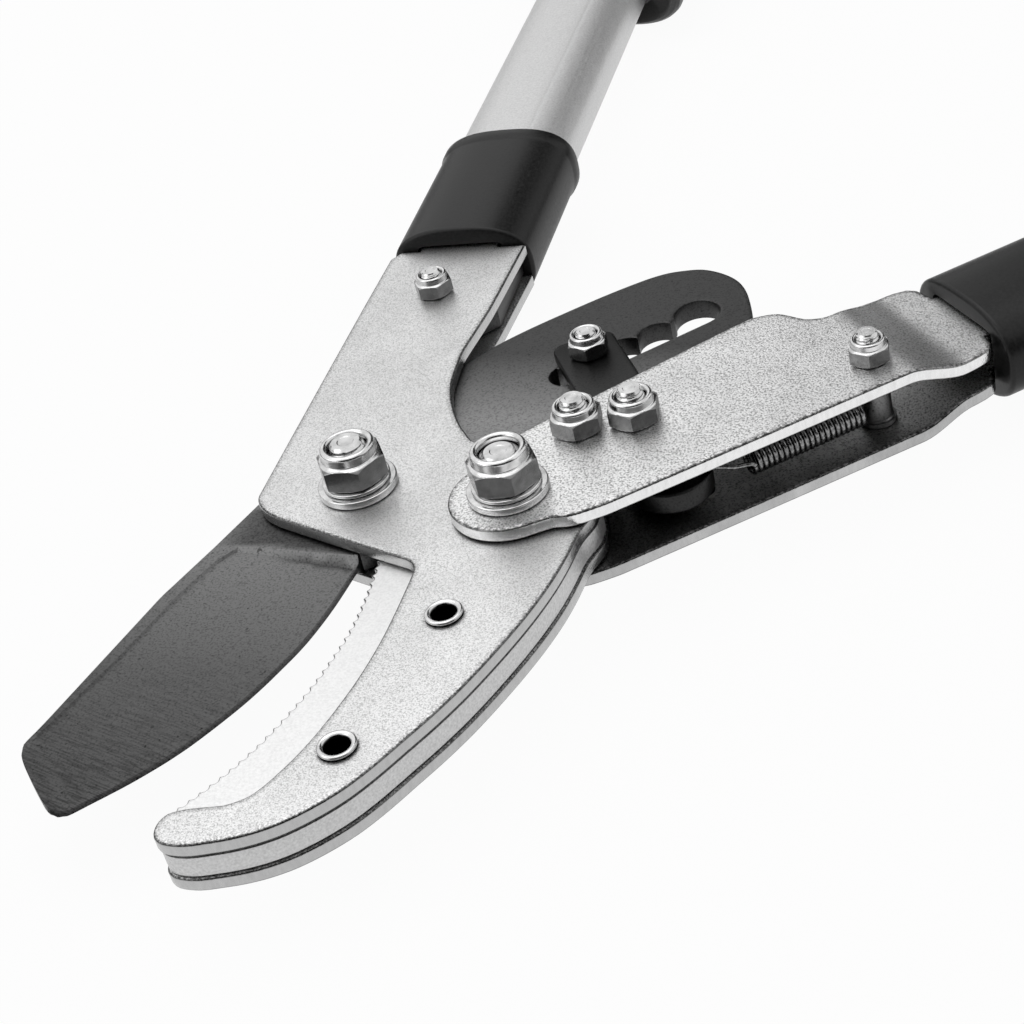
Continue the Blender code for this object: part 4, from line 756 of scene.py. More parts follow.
def dark_finish(name, share, lined):
    """Hardened steel: fine mottle under a painted change of light from the tail to the tip, and wheel lines.

    All tones are multiplied by the share. Where the scale mark is 1 the tone is darkened: painted shadow
    next to the jaw plate, a painted dark line at the step's foot and a dark stain along the keen edge. A few
    dark pits lie all over.
    """
    finish, nodes, links, shader = new_finish(name, 0.085 * share, 0.42, 1.0)
    fine = object_noise(nodes, links, 0.45 * MM, 4.0)
    mottle = ramp(nodes, links, fine, [(0.32, 0.5), (0.5, 0.9), (0.68, 1.0)])
    run = along_y(nodes, links, -65 * MM, 85 * MM)
    # Painted light: the tone rises from the tail to its lightest a fifth of the way along y, then falls off
    # towards the tip.
    stops = [(0.03, 0.07), (0.2, 0.27), (0.33, 0.25), (0.5, 0.19), (0.73, 0.11), (1.0, 0.068)]
    painted_light_run = ramp(nodes, links, run, [(place, value * share) for place, value in stops])
    colour = mix_colours(nodes, links, "MULTIPLY", 1.0, painted_light_run, mottle)
    # Painted shadow and shade where the scale mark is set, with the edge's stain.
    painted_shadow_tone = ramp(nodes, links, fine, [(0.3, 0.3), (0.7, 0.45)])
    colour = mix_colours(nodes, links, "MULTIPLY", mark_value(nodes, "scale"), colour, painted_shadow_tone)
    pits = ramp(nodes, links, object_noise(nodes, links, 1.1 * MM, 1.0), [(0.72, 1.0), (0.78, 0.4)])
    colour = mix_colours(nodes, links, "MULTIPLY", 1.0, colour, pits)
    if lined:
        wheel = object_noise(nodes, links, 0.4 * MM, 1.0, (1.0, 40.0, 1.0), WHEEL_TURN)
        scratch = ramp(nodes, links, wheel, [(0.38, 0.5), (0.58, 1.0)])
        near_tip = along_y(nodes, links, 35 * MM, 85 * MM)
        colour = mix_colours(nodes, links, "MULTIPLY", near_tip, colour, scratch)
    links.new(colour, shader.inputs["Base Color"])
    vary_roughness(nodes, links, shader, fine, 0.36, 0.5)
    add_relief(nodes, links, shader, fine, 0.1 * MM, 0.25)
    return finish


dark_steel = dark_finish("hardened_steel", 1.0, True)
blade = make_mesh("ground_blade", points, faces, dark_steel, math.radians(25), marks)
put_on(blade, "blade", "dark_steel", "blade")

# Fasteners: hexagon bolts from below with lock nuts on top, all bright zinc.
# A nut's round collar is crimped over a nylon ring, and the bolt's end stands in it. Painted shade darkens
# the nut's recess and bore, and its facets a little as a painted dark reflection.
NUT_SIZES = {"pivot": (13.0 * MM, 8.0 * MM), "lever": (10.0 * MM, 6.0 * MM), "small": (8.0 * MM, 5.0 * MM)}
FASTENERS = {
    "blade_pivot": ("anvil_head", "pivot", 0.0),
    "lever_pivot": ("anvil_head", "pivot", 0.0),
    "tang": ("anvil_head", "small", 0.0),
    "link_pivot": ("lever", "lever", 37.8),
    "stop": ("lever", "lever", 37.8),
    "spring_anchor": ("lever", "small", 37.8),
    "link_pin": ("link", "small", 37.8),
}
NUT_SIDES = 96
NUT_SHARP = math.radians(30)
SEAT_SHARE = 0.47
HEAD_SHARE = 0.41
COLLAR_HEIGHT_SHARE = 0.36
COLLAR_RADIUS_SHARE = 0.45
COLLAR_FOOT = 0.3 * MM
BEAD_SHARE = 0.062
RECESS_SHARE = 0.2
RECESS_CONE = 0.01
RING_SHARE = 0.15
NUT_PLAY = 0.25 * MM
FACET_SHARE = 0.52
FACET_PAINTED_SHADE = 0.72
THREAD_FROM = 0.8
THREAD_STEP = 0.12 * MM
THREAD_PITCH = 0.16
THREAD_DEPTH = 0.05


def straight(radii, levels, steps):
    """Straight stretch of a profile: even steps between two radii and two levels."""
    return np.stack([np.linspace(*radii, steps), np.linspace(*levels, steps)], axis=1)


def hexagon_cone(flats):
    """Radii of a hexagon's corners and of its seat, and the cone between, half as high as it widens."""
    corner = flats / math.sqrt(3)
    seat = flats * SEAT_SHARE
    return corner, seat, (corner - seat) * 0.5


def nut_profile(flats, shank, base, top):
    """Lock nut from its seat up: cone, facets, cone, collar with a rolled crown, recess and bore.

    Radii and the recess's depth are shares of the width across flats. Also gives the painted shade, which is
    1 in the recess and the bore and less on the facets, where it stands for a dark reflection, and the
    radius of the crown's inner edge.
    """
    corner, seat, cone = hexagon_cone(flats)
    collar = flats * COLLAR_RADIUS_SHARE
    bead = flats * BEAD_SHARE
    bore = shank + NUT_PLAY
    cone_end = base + (top - base) * (1 - COLLAR_HEIGHT_SHARE) + cone * 0.55
    lip = (collar - 2 * bead, top - 2 * bead)
    floor = top - flats * RECESS_SHARE
    profile = np.concatenate([
        straight((seat, corner), (base, base + cone), 6),
        straight((corner, collar + COLLAR_FOOT), (cone_end - cone * 1.1, cone_end), 7),
        corner_arc(collar + COLLAR_FOOT, cone_end + COLLAR_FOOT, COLLAR_FOOT, 250, 180, 4),
        corner_arc(collar - bead, top - bead, bead, 0, 190, 12),
        [lip, (lip[0], floor + flats * RECESS_CONE), (bore, floor), (bore, base)],
    ])
    # Painted shade: 1 in the recess and the bore; the facets get a painted dark reflection.
    shade = np.where((profile[:, 0] <= lip[0]) & (profile[:, 1] <= lip[1]), 1.0, 0.0)
    shade = np.where(profile[:, 0] > flats * FACET_SHARE, FACET_PAINTED_SHADE, shade)
    return profile, shade, lip[0]


def bolt_profile(flats, shank, low, thread_start, tip):
    """Hexagon bolt from its head up: cone, facets, shank, a thread that draws in, and a hollow end."""
    corner, seat, cone = hexagon_cone(flats)
    head = low + flats * HEAD_SHARE
    rise = np.arange(thread_start, tip - 0.45 * MM, THREAD_STEP)
    return np.concatenate([
        straight((seat, corner), (low, low + cone), 6),
        [(corner, head), (shank, head)],
        np.stack([np.linspace(shank, shank * 0.88, len(rise)), rise], axis=1),
        [(shank * 0.84, tip - 0.4 * MM), (shank * 0.74, tip)],
        [(shank * 0.45, tip), (shank * 0.4, tip - 0.12 * MM)],
    ])


nylon, nodes, links, shader = new_finish("grey_nylon", 0.09, 0.5, 0.0)
nylon_grain = object_noise(nodes, links, 0.4 * MM, 3.0)
links.new(ramp(nodes, links, nylon_grain, [(0.3, 0.05), (0.7, 0.12)]), shader.inputs["Base Color"])
add_relief(nodes, links, shader, nylon_grain, 0.05 * MM, 0.2)
for name, (body, size, degrees) in FASTENERS.items():
    flats, thread_width = NUT_SIZES[size]
    shank = thread_width / 2
    turn = math.radians(degrees)
    low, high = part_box(name + "_nut")
    centre = box_centre(low, high)
    base = low[2]
    top = high[2]
    profile, shade, lip = nut_profile(flats, shank, base, top)
    points, faces = turned_arrays(centre, profile, flats, turn, sides=NUT_SIDES)
    marks = {"shade": np.repeat(shade, NUT_SIDES)}
    nut = make_mesh(name + "_lock_nut", points, faces, bright, NUT_SHARP, marks)
    put_on(nut, body, "zinc", name + "_nut")

    low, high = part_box(name + "_bolt")
    tip = high[2]
    thread_start = base + (top - base) * THREAD_FROM
    profile = bolt_profile(flats, shank, low[2], thread_start, tip)
    thread = (thread_start, tip - 0.5 * MM, thread_width * THREAD_PITCH, thread_width * THREAD_DEPTH)
    points, faces = turned_arrays(centre, profile, flats, turn, False, NUT_SIDES, thread)
    bolt = make_mesh(name + "_hexagon_bolt", points, faces, bright, NUT_SHARP)
    put_on(bolt, body, "zinc", name + "_bolt")

    ring_size = max((lip - shank) * 0.45, 0.1 * MM)
    ring = corner_arc(shank + 0.1 * MM + ring_size, top - flats * RING_SHARE, ring_size, -180, 180, 13)[:-1]
    points, faces = turned_arrays(centre, ring)
    put_on(make_mesh(name + "_nylon_ring", points, faces, nylon), body, "grey_plastic")

# Washers: punched from sheet and zinc plated, bright, with slightly rounded edges.
# Each main pivot has a large one on both sides and a thin one.
WASHER_BORE = 4.25 * MM
TURNED_EDGE = 0.3 * MM


def rounded_side(radius, low, high, edge):
    """Upright side of a turned piece, with a quarter circle at both of its edges."""
    return np.concatenate([corner_arc(radius - edge, low + edge, edge, -90, 0, 4),
                           corner_arc(radius - edge, high - edge, edge, 0, 90, 4)])


for pivot in ("blade_pivot", "lever_pivot"):
    for kind in ("washer_top", "washer_bottom", "thin_washer"):
        node = pivot + "_" + kind
        low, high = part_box(node)
        edge = min(TURNED_EDGE, (high[2] - low[2]) * 0.4)
        side = rounded_side((high[0] - low[0]) / 2, low[2], high[2], edge)
        profile = np.concatenate([side, [(WASHER_BORE, high[2]), (WASHER_BORE, low[2])]])
        points, faces = turned_arrays(box_centre(low, high), profile)
        put_on(make_mesh(node + "_punched", points, faces, bright), "anvil_head", "zinc", node)

# Tang blocks: dark spacers between the plates' ends, with tube pins through them.
# They only show as a shadow line between the plates.
BLOCK_ROUND = 0.3 * MM
BLOCK_RIM = 0.5 * MM
PIN_RADIUS = 2.0 * MM
TANG_BLOCKS = (("tang_spacer", "anvil_tube_pin", "anvil_head"),
               ("lever_tang_spacer", "lever_tube_pin", "lever"))
for node, pin, body in TANG_BLOCKS:
    points, faces, marks = node_plate(node, BLOCK_ROUND, BLOCK_RIM)
    put_on(make_mesh(node + "_block", points, faces, dark_steel, marks=marks), body, "dark_steel", node)
    low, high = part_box(pin)
    profile = rounded_side(PIN_RADIUS, low[2], high[2], TURNED_EDGE)
    points, faces = turned_arrays(box_centre(low, high), profile, closed=False)
    put_on(make_mesh(pin + "_round", points, faces, bright), body, "zinc", pin)

# Lever: two zinc-plated plates with a coarser grain, bent together where they enter the right handle.
# The lever turns on the second pivot and pulls the ratchet link. Painted shade darkens its inner faces
# between the plates, fading towards the bend, and the lower plate's cut sides.
LEVER_THICKNESS = 3.0 * MM
BEND_FROM = 82.0 * MM
BEND_TO = 95.0 * MM
BEND_DROP = 3.3 * MM
INNER_SHADE_REACH = (72.0 * MM, 96.0 * MM)
INNER_SHADE_SHARES = (1.0, 0.25)
WALL_PAINTED_SHADE = 0.75
FACE_MARGIN = 0.2 * MM
lever_way = np.array(joints["lever_telescope"]["axis"])[:2]
lever_side = np.array([-lever_way[1], lever_way[0]])
lever_zinc = zinc_plate("lever_zinc", 0.42 * MM, dark=0.32, light=0.82, rim_dark=0.35, cut=0.9)
for side, sign in (("top", 1.0), ("bottom", -1.0)):
    node = "lever_plate_" + side
    low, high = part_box(node)
    outer_face = high[2] if sign > 0 else low[2]
    inner_face = outer_face - sign * LEVER_THICKNESS
    levels = sorted((outer_face, inner_face))
    loops = [smooth_loop(loop) for loop in upper_loops(node)]
    points, faces, marks, _ = plate_arrays(loops, *levels, PLATE_ROUND, PLATE_RIM, NET_SPACING)
    along = points[:, :2] @ lever_way
    # Painted shade where the plates face each other, fading out towards the bend.
    inner_painted_shade = np.abs(points[:, 2] - inner_face) < FACE_MARGIN
    inner_painted_shade = inner_painted_shade * np.interp(along, INNER_SHADE_REACH, INNER_SHADE_SHARES)
    # Painted shade on the lower plate's cut sides too.
    if sign < 0:
        inner_painted_shade = np.maximum(inner_painted_shade, WALL_PAINTED_SHADE * marks["wall"])
    marks["inner_painted_shade"] = inner_painted_shade
    share = fade(along, BEND_FROM, BEND_TO)
    points[:, 2] -= sign * BEND_DROP * share * share * (3 - 2 * share)
    cheek = make_mesh("lever_cheek_" + side, points, faces, lever_zinc, marks=marks)
    put_on(cheek, "lever", "plate_zinc", node)

# Ratchet link: two dark plates over the blade's tail, with a bushed pin that drops into the notches.
# A block between them carries the spring's hook.
LINK_ROUND = 0.6 * MM
LINK_RIM = 0.7 * MM
BUSH_BORE = 2.75 * MM
BUSH_RADIUS = 3.2 * MM
black_steel = dark_finish("blackened_steel", 0.2, False)
for node in ("link_plate_top", "link_plate_bottom", "link_tail_block"):
    points, faces, marks = node_plate(node, LINK_ROUND, LINK_RIM)
    put_on(make_mesh(node + "_shaped", points, faces, black_steel, marks=marks), "link", "dark_steel", node)
low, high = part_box("link_pin_bush")
profile = [(BUSH_BORE, low[2]), (BUSH_RADIUS, low[2]), (BUSH_RADIUS, high[2]), (BUSH_BORE, high[2])]
points, faces = turned_arrays(box_centre(low, high), profile)
put_on(make_mesh("link_bush", points, faces, dark_steel), "link", "dark_steel", "link_pin_bush")

# Return spring: a close coil of oiled spring wire, hooked into the link's tail block.
# Its other end rests on the flanged sleeve of the anchor bolt.
# Places are given along the lever, across it and up from the tool's middle.
SPRING_WIRE = 1.1 * MM
SPRING_RADIUS = 2.95 * MM
SPRING_TURNS = 22
SPRING_PITCH = 1.2 * MM
SPRING_START = 47.0 * MM
SPRING_SIDE = -10.3 * MM
COIL_STEPS = 24
PATH_STEP = 0.2
HOOK_PLACE = np.array([36.3, -10.4, 3.15]) * MM
HOOK_BENDS = np.array([(0.0, 0.0, -3.75), (0.0, 0.0, -1.2), (0.5, -0.2, -0.2),
                       (1.7, -0.8, 0.0), (4.0, -1.6, -0.7), (7.0, -2.4, -1.7)]) * MM
HOOK_LEAD = np.array([0.9, 0.0, -0.9]) * MM
ANCHOR_PLACE = np.array([75.1, -8.0, 2.36]) * MM
ANCHOR_LEAD = np.array([1.6, 0.0, 0.0]) * MM
SLEEVE_RADIUS = 3.2 * MM
SLEEVE_FOOT = 0.3 * MM
FLANGE_RADIUS = 3.9 * MM
FLANGE_HEIGHT = 1.0 * MM


def swept_arrays(path, radius, sides):
    """Round wire along a path of points, each ring square to the path, with flat ends."""
    ahead = np.gradient(path, axis=0)
    ahead /= np.linalg.norm(ahead, axis=1)[:, None]
    first = np.cross(ahead, (0.31, 0.27, 0.91))
    first /= np.linalg.norm(first, axis=1)[:, None]
    second = np.cross(ahead, first)
    angle = np.linspace(0.0, 2 * np.pi, sides, endpoint=False)[:, None]
    ring = first[:, None] * np.cos(angle) + second[:, None] * np.sin(angle)
    points = (path[:, None] + radius * ring).reshape(-1, 3)
    last = (len(path) - 1) * sides
    caps = [np.arange(sides)[::-1][None], (last + np.arange(sides))[None]]
    return points, [ring_faces(len(path), sides, False)] + caps


def rounded_path(knots, step):
    """Smooth line through knots: Catmull-Rom pieces, at even steps of the knots' count."""
    knots = np.asarray(knots)
    padded = np.concatenate([[2 * knots[0] - knots[1]], knots, [2 * knots[-1] - knots[-2]]])
    place = np.arange(0.0, len(knots) - 1 + 1e-9, step)
    index = np.minimum(place.astype(int), len(knots) - 2)
    t = (place - index)[:, None]
    p0, p1, p2, p3 = (padded[index + shift] for shift in range(4))
    square = 2 * p0 - 5 * p1 + 4 * p2 - p3
    cube = 3 * p1 - p0 - 3 * p2 + p3
    return (2 * p1 + (p2 - p0) * t + square * t**2 + cube * t**3) / 2


def grained_finish(name, grain, tones, roughness, relief, metallic=0.0):
    """Even finish with a fine grain: one noise sets its tone, its roughness and a slight relief."""
    finish, nodes, links, shader = new_finish(name, tones[0][1], roughness[0], metallic)
    fine = object_noise(nodes, links, grain, 3.0)
    links.new(ramp(nodes, links, fine, tones), shader.inputs["Base Color"])
    vary_roughness(nodes, links, shader, fine, *roughness)
    add_relief(nodes, links, shader, fine, *relief)
    return finish


angle = np.linspace(np.pi / 2, 2 * np.pi * SPRING_TURNS, SPRING_TURNS * COIL_STEPS + 1)
coil = np.stack([SPRING_START + SPRING_PITCH * angle / (2 * np.pi),
                 SPRING_SIDE - SPRING_RADIUS * np.sin(angle),
                 SPRING_RADIUS * np.cos(angle)], axis=1)
hook = rounded_path([*(HOOK_PLACE + HOOK_BENDS), coil[0] - HOOK_LEAD, coil[0]], PATH_STEP)
rest_end = rounded_path([coil[-1], ANCHOR_PLACE - ANCHOR_LEAD, ANCHOR_PLACE], PATH_STEP)
path = np.concatenate([hook[:-1], coil, rest_end[1:]])
path = np.column_stack([path[:, :1] * lever_way + path[:, 1:2] * lever_side, path[:, 2] + middle])
points, faces = swept_arrays(path, SPRING_WIRE / 2, 12)
wire = grained_finish("spring_wire", 0.6 * MM, [(0.3, 0.1), (0.55, 0.26), (0.75, 0.45)], (0.16, 0.34),
                      (0.04 * MM, 0.2), 1.0)
spring = make_mesh("coil_spring", points, faces, wire, math.radians(60))
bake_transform(spring)
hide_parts("return_spring")
low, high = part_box("spring_anchor_sleeve")
flange = low[2] + FLANGE_HEIGHT
profile = [(BUSH_BORE, low[2]), (FLANGE_RADIUS, low[2]), (FLANGE_RADIUS, flange),
           (SLEEVE_RADIUS + 0.2 * MM, flange), (SLEEVE_RADIUS, flange + SLEEVE_FOOT),
           (SLEEVE_RADIUS, high[2]), (BUSH_BORE, high[2])]
points, faces = turned_arrays(box_centre(low, high), profile)
anchor = make_mesh("anchor_sleeve", points, faces, dark_steel, math.radians(30))
put_on(anchor, "lever", "dark_steel", "spring_anchor_sleeve")

# Front sleeves: black rubber pushed over the tubes' ends, closed round the tangs.
# Each has a soft front edge and a slightly raised lip behind.
SQUARENESS = 2.6
MOUTH_SQUARENESS = 10.0
SECTION_SIDES = 72
RIDGE_PITCH = 5.6 * MM
HANDLE_LINES = {
    "anvil": (np.array([38.7 * MM, 0.0]), np.array([0.0, -1.0]), np.array([1.0, 0.0])),
    "lever": (-2.5 * MM * lever_side, lever_way, lever_side),
}
FIXED_BODIES = {"anvil": "anvil_head", "lever": "lever"}
TUBE_SIZE = np.array([31.2, 17.8]) * MM
SLIDE_BORE = TUBE_SIZE + 0.6 * MM
SLEEVE_SIZE = SLIDE_BORE + 3.2 * MM
SLEEVE_LIP = SLEEVE_SIZE + 1.0 * MM
SLEEVE_START = 103.6 * MM
SLEEVE_END = 153.0 * MM
SLEEVE_WALL = 2.4 * MM
FRONT_ROUND = 1.0 * MM
LIP_ROUND = 0.8 * MM
MOUTH_SIZE = np.array([21.8, 13.2]) * MM


def oval_arrays(handle, rings, closed, ridge=0.0, sides=SECTION_SIDES, lean=0.0):
    """Oval piece along a handle: rings of (station, width, height, squareness n).

    At each station |y/a|^n + |z/b|^n = 1; the ridge lowers narrow grooves above and below by that
    length, and the lean moves a ring's points along by that share of y. An open piece is capped.
    """
    angle = np.linspace(0.0, 2 * np.pi, sides, endpoint=False)
    c, s = np.cos(angle), np.sin(angle)
    power = 2.0 / rings[:, 3:]
    y = rings[:, 1:2] / 2 * np.sign(c) * np.abs(c) ** power
    z = rings[:, 2:3] / 2 * np.sign(s) * np.abs(s) ** power
    groove = np.clip(np.cos(2 * np.pi * y / RIDGE_PITCH) * 5.0 - 4.0, 0.0, 1.0) * (np.abs(s) > 0.4)
    z -= ridge * groove * np.sign(s)
    origin, way, side = HANDLE_LINES[handle]
    station = rings[:, :1] + np.reshape(lean, (-1, 1)) * y
    plan = origin + station[:, :, None] * way + y[:, :, None] * side
    points = np.dstack([plan, z + middle]).reshape(-1, 3)
    faces = [ring_faces(len(rings), sides, closed)]
    if not closed:
        faces.append(np.arange(sides)[::-1][None])
        faces.append(((len(rings) - 1) * sides + np.arange(sides))[None])
    return points, faces


def oval_rings(*pairs, square=SQUARENESS):
    """Rings of one squareness, from pairs of a station and a size (width, height)."""
    return np.array([(station, *size, square) for station, size in pairs])


def oval_round(station, size, radius, begin, end, steps=6):
    """Rings of a rounded edge: a circle about a point one radius in from the size, in degrees."""
    angle = np.radians(np.linspace(begin, end, steps))
    out = 2 * radius * (np.cos(angle) - 1)
    place = station + radius * np.sin(angle)
    return np.column_stack([place, size[0] + out, size[1] + out, np.full(steps, SQUARENESS)])


rubber = grained_finish("black_rubber", 0.7 * MM, [(0.3, 0.005), (0.7, 0.014)], (0.28, 0.42),
                        (0.06 * MM, 0.25))
rubber.node_tree.nodes["Principled BSDF"].inputs["Specular IOR Level"].default_value = 0.26
sleeve_rings = np.concatenate([
    oval_rings((SLEEVE_START, MOUTH_SIZE), square=MOUTH_SQUARENESS),
    oval_round(SLEEVE_START + FRONT_ROUND, SLEEVE_SIZE, FRONT_ROUND, -90, 0),
    oval_rings((SLEEVE_END - 5.2 * MM, SLEEVE_SIZE), (SLEEVE_END - 4.4 * MM, SLEEVE_SIZE + 0.3 * MM),
               (SLEEVE_END - 3.4 * MM, SLEEVE_LIP - 0.1 * MM)),
    oval_round(SLEEVE_END - LIP_ROUND, SLEEVE_LIP, LIP_ROUND, 0, 90),
    oval_rings((SLEEVE_END, SLIDE_BORE), (SLEEVE_START + SLEEVE_WALL, SLIDE_BORE)),
    oval_rings((SLEEVE_START + SLEEVE_WALL, MOUTH_SIZE), square=MOUTH_SQUARENESS),
])
for prefix in ("anvil", "lever"):
    points, faces = oval_arrays(prefix, sleeve_rings, True)
    sleeve = make_mesh(prefix + "_rubber_sleeve", points, faces, rubber)
    put_on(sleeve, FIXED_BODIES[prefix], "rubber", prefix + "_front_sleeve")

# Inner tubes: drawn oval aluminium with fine lines along it.
# They run from the sleeves back inside the outer tubes.
TUBE_START = 106.2 * MM
TUBE_END = 526.2 * MM
TUBE_BORE = TUBE_SIZE - 3.0 * MM
TUBE_GROOVE = 0.03 * MM
TUBE_SIDES = 360


def pipe_rings(start, end, bore, size):
    """Rings of a plain tube: round from its bore at the start, along the outside and in at the end."""
    return oval_rings((start, bore), (start, size), (end, size), (end, bore))


aluminium = grained_finish("drawn_aluminium", 0.5 * MM, [(0.3, 0.6), (0.7, 0.74)], (0.42, 0.56),
                           (0.03 * MM, 0.2), 1.0)
for prefix in ("anvil", "lever"):
    rings = pipe_rings(TUBE_START, TUBE_END, TUBE_BORE, TUBE_SIZE)
    points, faces = oval_arrays(prefix, rings, True, TUBE_GROOVE, TUBE_SIDES)
    tube = make_mesh(prefix + "_drawn_tube", points, faces, aluminium)
    put_on(tube, FIXED_BODIES[prefix], "aluminium", prefix + "_inner_tube")

# Lock collars: black moulded plastic with a rounded rim and a recessed mouth.
# A grey button in the outer side releases the sliding tube.
COLLAR_START = 254.0 * MM
COLLAR_END = 304.0 * MM
COLLAR_SIZE = np.array([53.0, 28.0]) * MM
COLLAR_SLANT = 22.0 * MM
COLLAR_DEPTH = 5.0 * MM
COLLAR_STEP = 284.0 * MM
COLLAR_SEAT = TUBE_SIZE + 4.2 * MM
COLLAR_MOUTH = COLLAR_SIZE - (8.0 * MM, 4.0 * MM)
COLLAR_FRONT = COLLAR_START + COLLAR_SLANT / 2
BUTTON_STATION = 286.0 * MM
BUTTON_RADIUS = 4.5 * MM
BUTTON_ROUND = 0.7 * MM
BUTTON_PROUD = 2.6 * MM
BUTTON_LENGTH = 4.2 * MM
POCKET_RADIUS = BUTTON_RADIUS + 0.3 * MM
POCKET_FLOOR = 22.2 * MM
POCKET_END = 40.0 * MM
OUTER_SIDES = {"anvil": 1.0, "lever": -1.0}
plastic = grained_finish("black_plastic", 0.5 * MM, [(0.3, 0.03), (0.7, 0.055)], (0.34, 0.46),
                         (0.06 * MM, 0.25))
grey = grained_finish("grey_plastic", 0.5 * MM, [(0.3, 0.2), (0.7, 0.3)], (0.34, 0.46), (0.06 * MM, 0.25))


def side_round_arrays(handle, profile):
    """Turned piece that stands across a handle at the button: profile of (radius, reach)."""
    points, faces = turned_arrays((0.0, 0.0), profile, closed=False, sides=48)
    origin, way, side = HANDLE_LINES[handle]
    out = side * OUTER_SIDES[handle]
    plan = origin + (BUTTON_STATION + points[:, :1]) * way + points[:, 2:] * out
    level = points[:, 1] * OUTER_SIDES[handle] + middle
    return np.column_stack([plan, level]), [face[:, ::-1] for face in faces]


mouth_rings = oval_rings(
    (COLLAR_FRONT + COLLAR_DEPTH, SLIDE_BORE),
    (COLLAR_FRONT + COLLAR_DEPTH, SLIDE_BORE + 2.0 * MM),
    (COLLAR_FRONT + 1.2 * MM, COLLAR_MOUTH),
    (COLLAR_FRONT + 0.3 * MM, COLLAR_MOUTH + 0.8 * MM),
    (COLLAR_FRONT, COLLAR_MOUTH + (2.4 * MM, 1.2 * MM)),
    (COLLAR_FRONT + 0.5 * MM, COLLAR_SIZE - (3.0 * MM, 1.7 * MM)),
    (COLLAR_FRONT + 1.6 * MM, COLLAR_SIZE - (1.2 * MM, 0.7 * MM)),
    (COLLAR_FRONT + 4.0 * MM, COLLAR_SIZE))
rear_rings = oval_rings(
    (COLLAR_END - 9.0 * MM, COLLAR_SIZE),
    (COLLAR_END - 5.0 * MM, COLLAR_SIZE - (2.4 * MM, 0.3 * MM)),
    (COLLAR_END - 2.0 * MM, COLLAR_SIZE - (9.0 * MM, 1.0 * MM)),
    (COLLAR_END - 0.4 * MM, COLLAR_SEAT + (4.4 * MM, 3.0 * MM)),
    (COLLAR_END, COLLAR_SEAT + (3.4 * MM, 2.4 * MM)),
    (COLLAR_END, COLLAR_SEAT),
    (COLLAR_STEP, COLLAR_SEAT),
    (COLLAR_STEP, SLIDE_BORE))
button_top = COLLAR_SIZE[0] / 2 + BUTTON_PROUD
button_profile = np.concatenate([
    [(BUTTON_RADIUS, button_top - BUTTON_LENGTH)],
    corner_arc(BUTTON_RADIUS - BUTTON_ROUND, button_top - 0.9 * MM, BUTTON_ROUND, 0, 80, 6),
    [(BUTTON_RADIUS * 0.5, button_top - 0.05 * MM)],
])
for prefix in ("anvil", "lever"):
    slope = OUTER_SIDES[prefix] * COLLAR_SLANT / COLLAR_SIZE[0]
    lean = np.concatenate([np.full(len(mouth_rings), slope), np.zeros(len(rear_rings))])
    points, faces = oval_arrays(prefix, np.concatenate([mouth_rings, rear_rings]), True, lean=lean)
    collar = make_mesh(prefix + "_moulded_collar", points, faces, plastic, math.radians(32))
    points, faces = side_round_arrays(prefix, [(POCKET_RADIUS, POCKET_FLOOR), (POCKET_RADIUS, POCKET_END)])
    pocket = make_mesh(prefix + "_pocket", points, faces, plastic)
    cut = collar.modifiers.new("pocket", "BOOLEAN")
    cut.operation = "DIFFERENCE"
    cut.object = pocket
    whole = collar.evaluated_get(bpy.context.evaluated_depsgraph_get())
    collar.data = bpy.data.meshes.new_from_object(whole)
    collar.modifiers.clear()
    bpy.data.objects.remove(pocket)
    put_on(collar, prefix + "_extension", "black_plastic", prefix + "_lock_collar")
    points, faces = side_round_arrays(prefix, button_profile)
    button = make_mesh(prefix + "_round_button", points, faces, grey)
    put_on(button, prefix + "_button", "grey_plastic", prefix + "_lock_button")

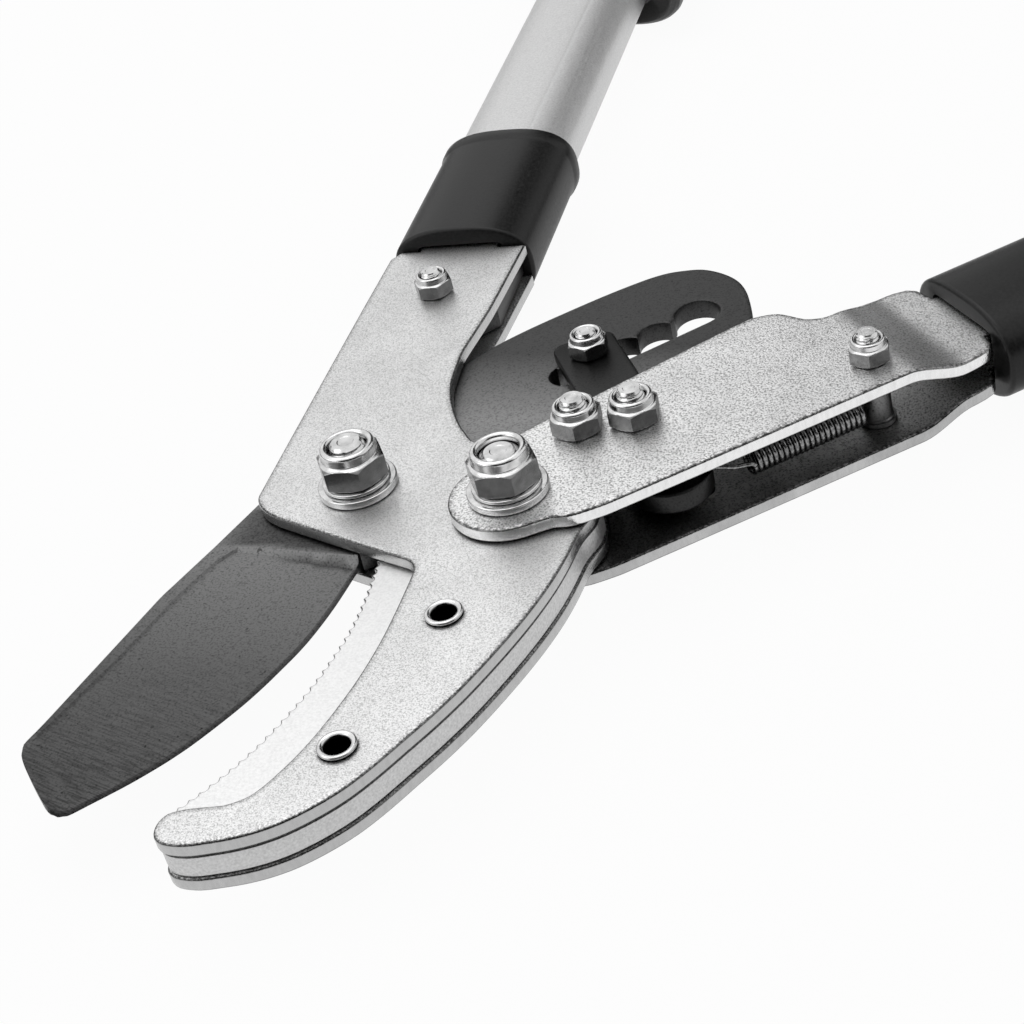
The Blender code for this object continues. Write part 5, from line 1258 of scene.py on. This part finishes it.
# Outer tubes, grips and end caps: painted tubes that slide, with soft grips and moulded plugs.
# The grips swell at both ends and carry shallow rings for the hand.
OUTER_START = 284.2 * MM
OUTER_END = 632.2 * MM
OUTER_SIZE = TUBE_SIZE + 3.6 * MM
GRIP_START = 452.2 * MM
GRIP_SIZE = np.array([41.6, 32.4]) * MM
GRIP_BORE = OUTER_SIZE + 0.6 * MM
GRIP_END = 4.0 * MM
GRIP_WAIST = 1.6 * MM
GRIP_GROOVE = 0.5 * MM
GRIP_GROOVES = 15
CAP_END = 636.2 * MM
CAP_PLUG = OUTER_END - 14.0 * MM
CAP_SEAT = OUTER_END + 0.2 * MM
PLUG_SIZE = SLIDE_BORE - 0.6 * MM
FLANGE_SIZE = GRIP_SIZE - 3.0 * MM
paint = grained_finish("black_paint", 0.4 * MM, [(0.3, 0.022), (0.7, 0.045)], (0.24, 0.36), (0.03 * MM, 0.2))
share = np.linspace(0.0, 1.0, 121)
waist = GRIP_WAIST * (1 - (2 * share - 1) ** 4)
groove = GRIP_GROOVE * np.clip(np.cos(2 * np.pi * share * GRIP_GROOVES) * 2.0 - 0.6, 0.0, 1.0)
draw = 2 * (waist + groove * (np.abs(share - 0.5) < 0.42))
stations = GRIP_START + GRIP_END + share * (OUTER_END - GRIP_START - 2 * GRIP_END)
grip_rings = np.concatenate([
    oval_rings((GRIP_START, GRIP_BORE), (GRIP_START, GRIP_BORE + 2.4 * MM),
               (GRIP_START + 1.2 * MM, GRIP_SIZE - 1.6 * MM)),
    np.column_stack([stations, GRIP_SIZE - draw[:, None], np.full(len(share), SQUARENESS)]),
    oval_rings((OUTER_END - 1.2 * MM, GRIP_SIZE - 1.2 * MM), (OUTER_END, GRIP_SIZE - 4.0 * MM),
               (OUTER_END, GRIP_BORE)),
])
cap_rings = oval_rings(
    (CAP_PLUG, PLUG_SIZE),
    (CAP_SEAT, PLUG_SIZE),
    (CAP_SEAT, FLANGE_SIZE),
    (CAP_END - 1.8 * MM, FLANGE_SIZE),
    (CAP_END - 0.9 * MM, FLANGE_SIZE - 0.8 * MM),
    (CAP_END - 0.2 * MM, FLANGE_SIZE - 3.0 * MM),
    (CAP_END, FLANGE_SIZE - 6.0 * MM))
for prefix in ("anvil", "lever"):
    body = prefix + "_extension"
    points, faces = oval_arrays(prefix, pipe_rings(OUTER_START, OUTER_END, SLIDE_BORE, OUTER_SIZE), True)
    outer = make_mesh(prefix + "_painted_tube", points, faces, paint)
    put_on(outer, body, "black_paint", prefix + "_outer_tube")
    points, faces = oval_arrays(prefix, grip_rings, True)
    put_on(make_mesh(prefix + "_soft_grip", points, faces, rubber), body, "rubber", prefix + "_grip")
    points, faces = oval_arrays(prefix, cap_rings, False)
    plug = make_mesh(prefix + "_plug_cap", points, faces, plastic)
    put_on(plug, body, "black_plastic", prefix + "_end_cap")
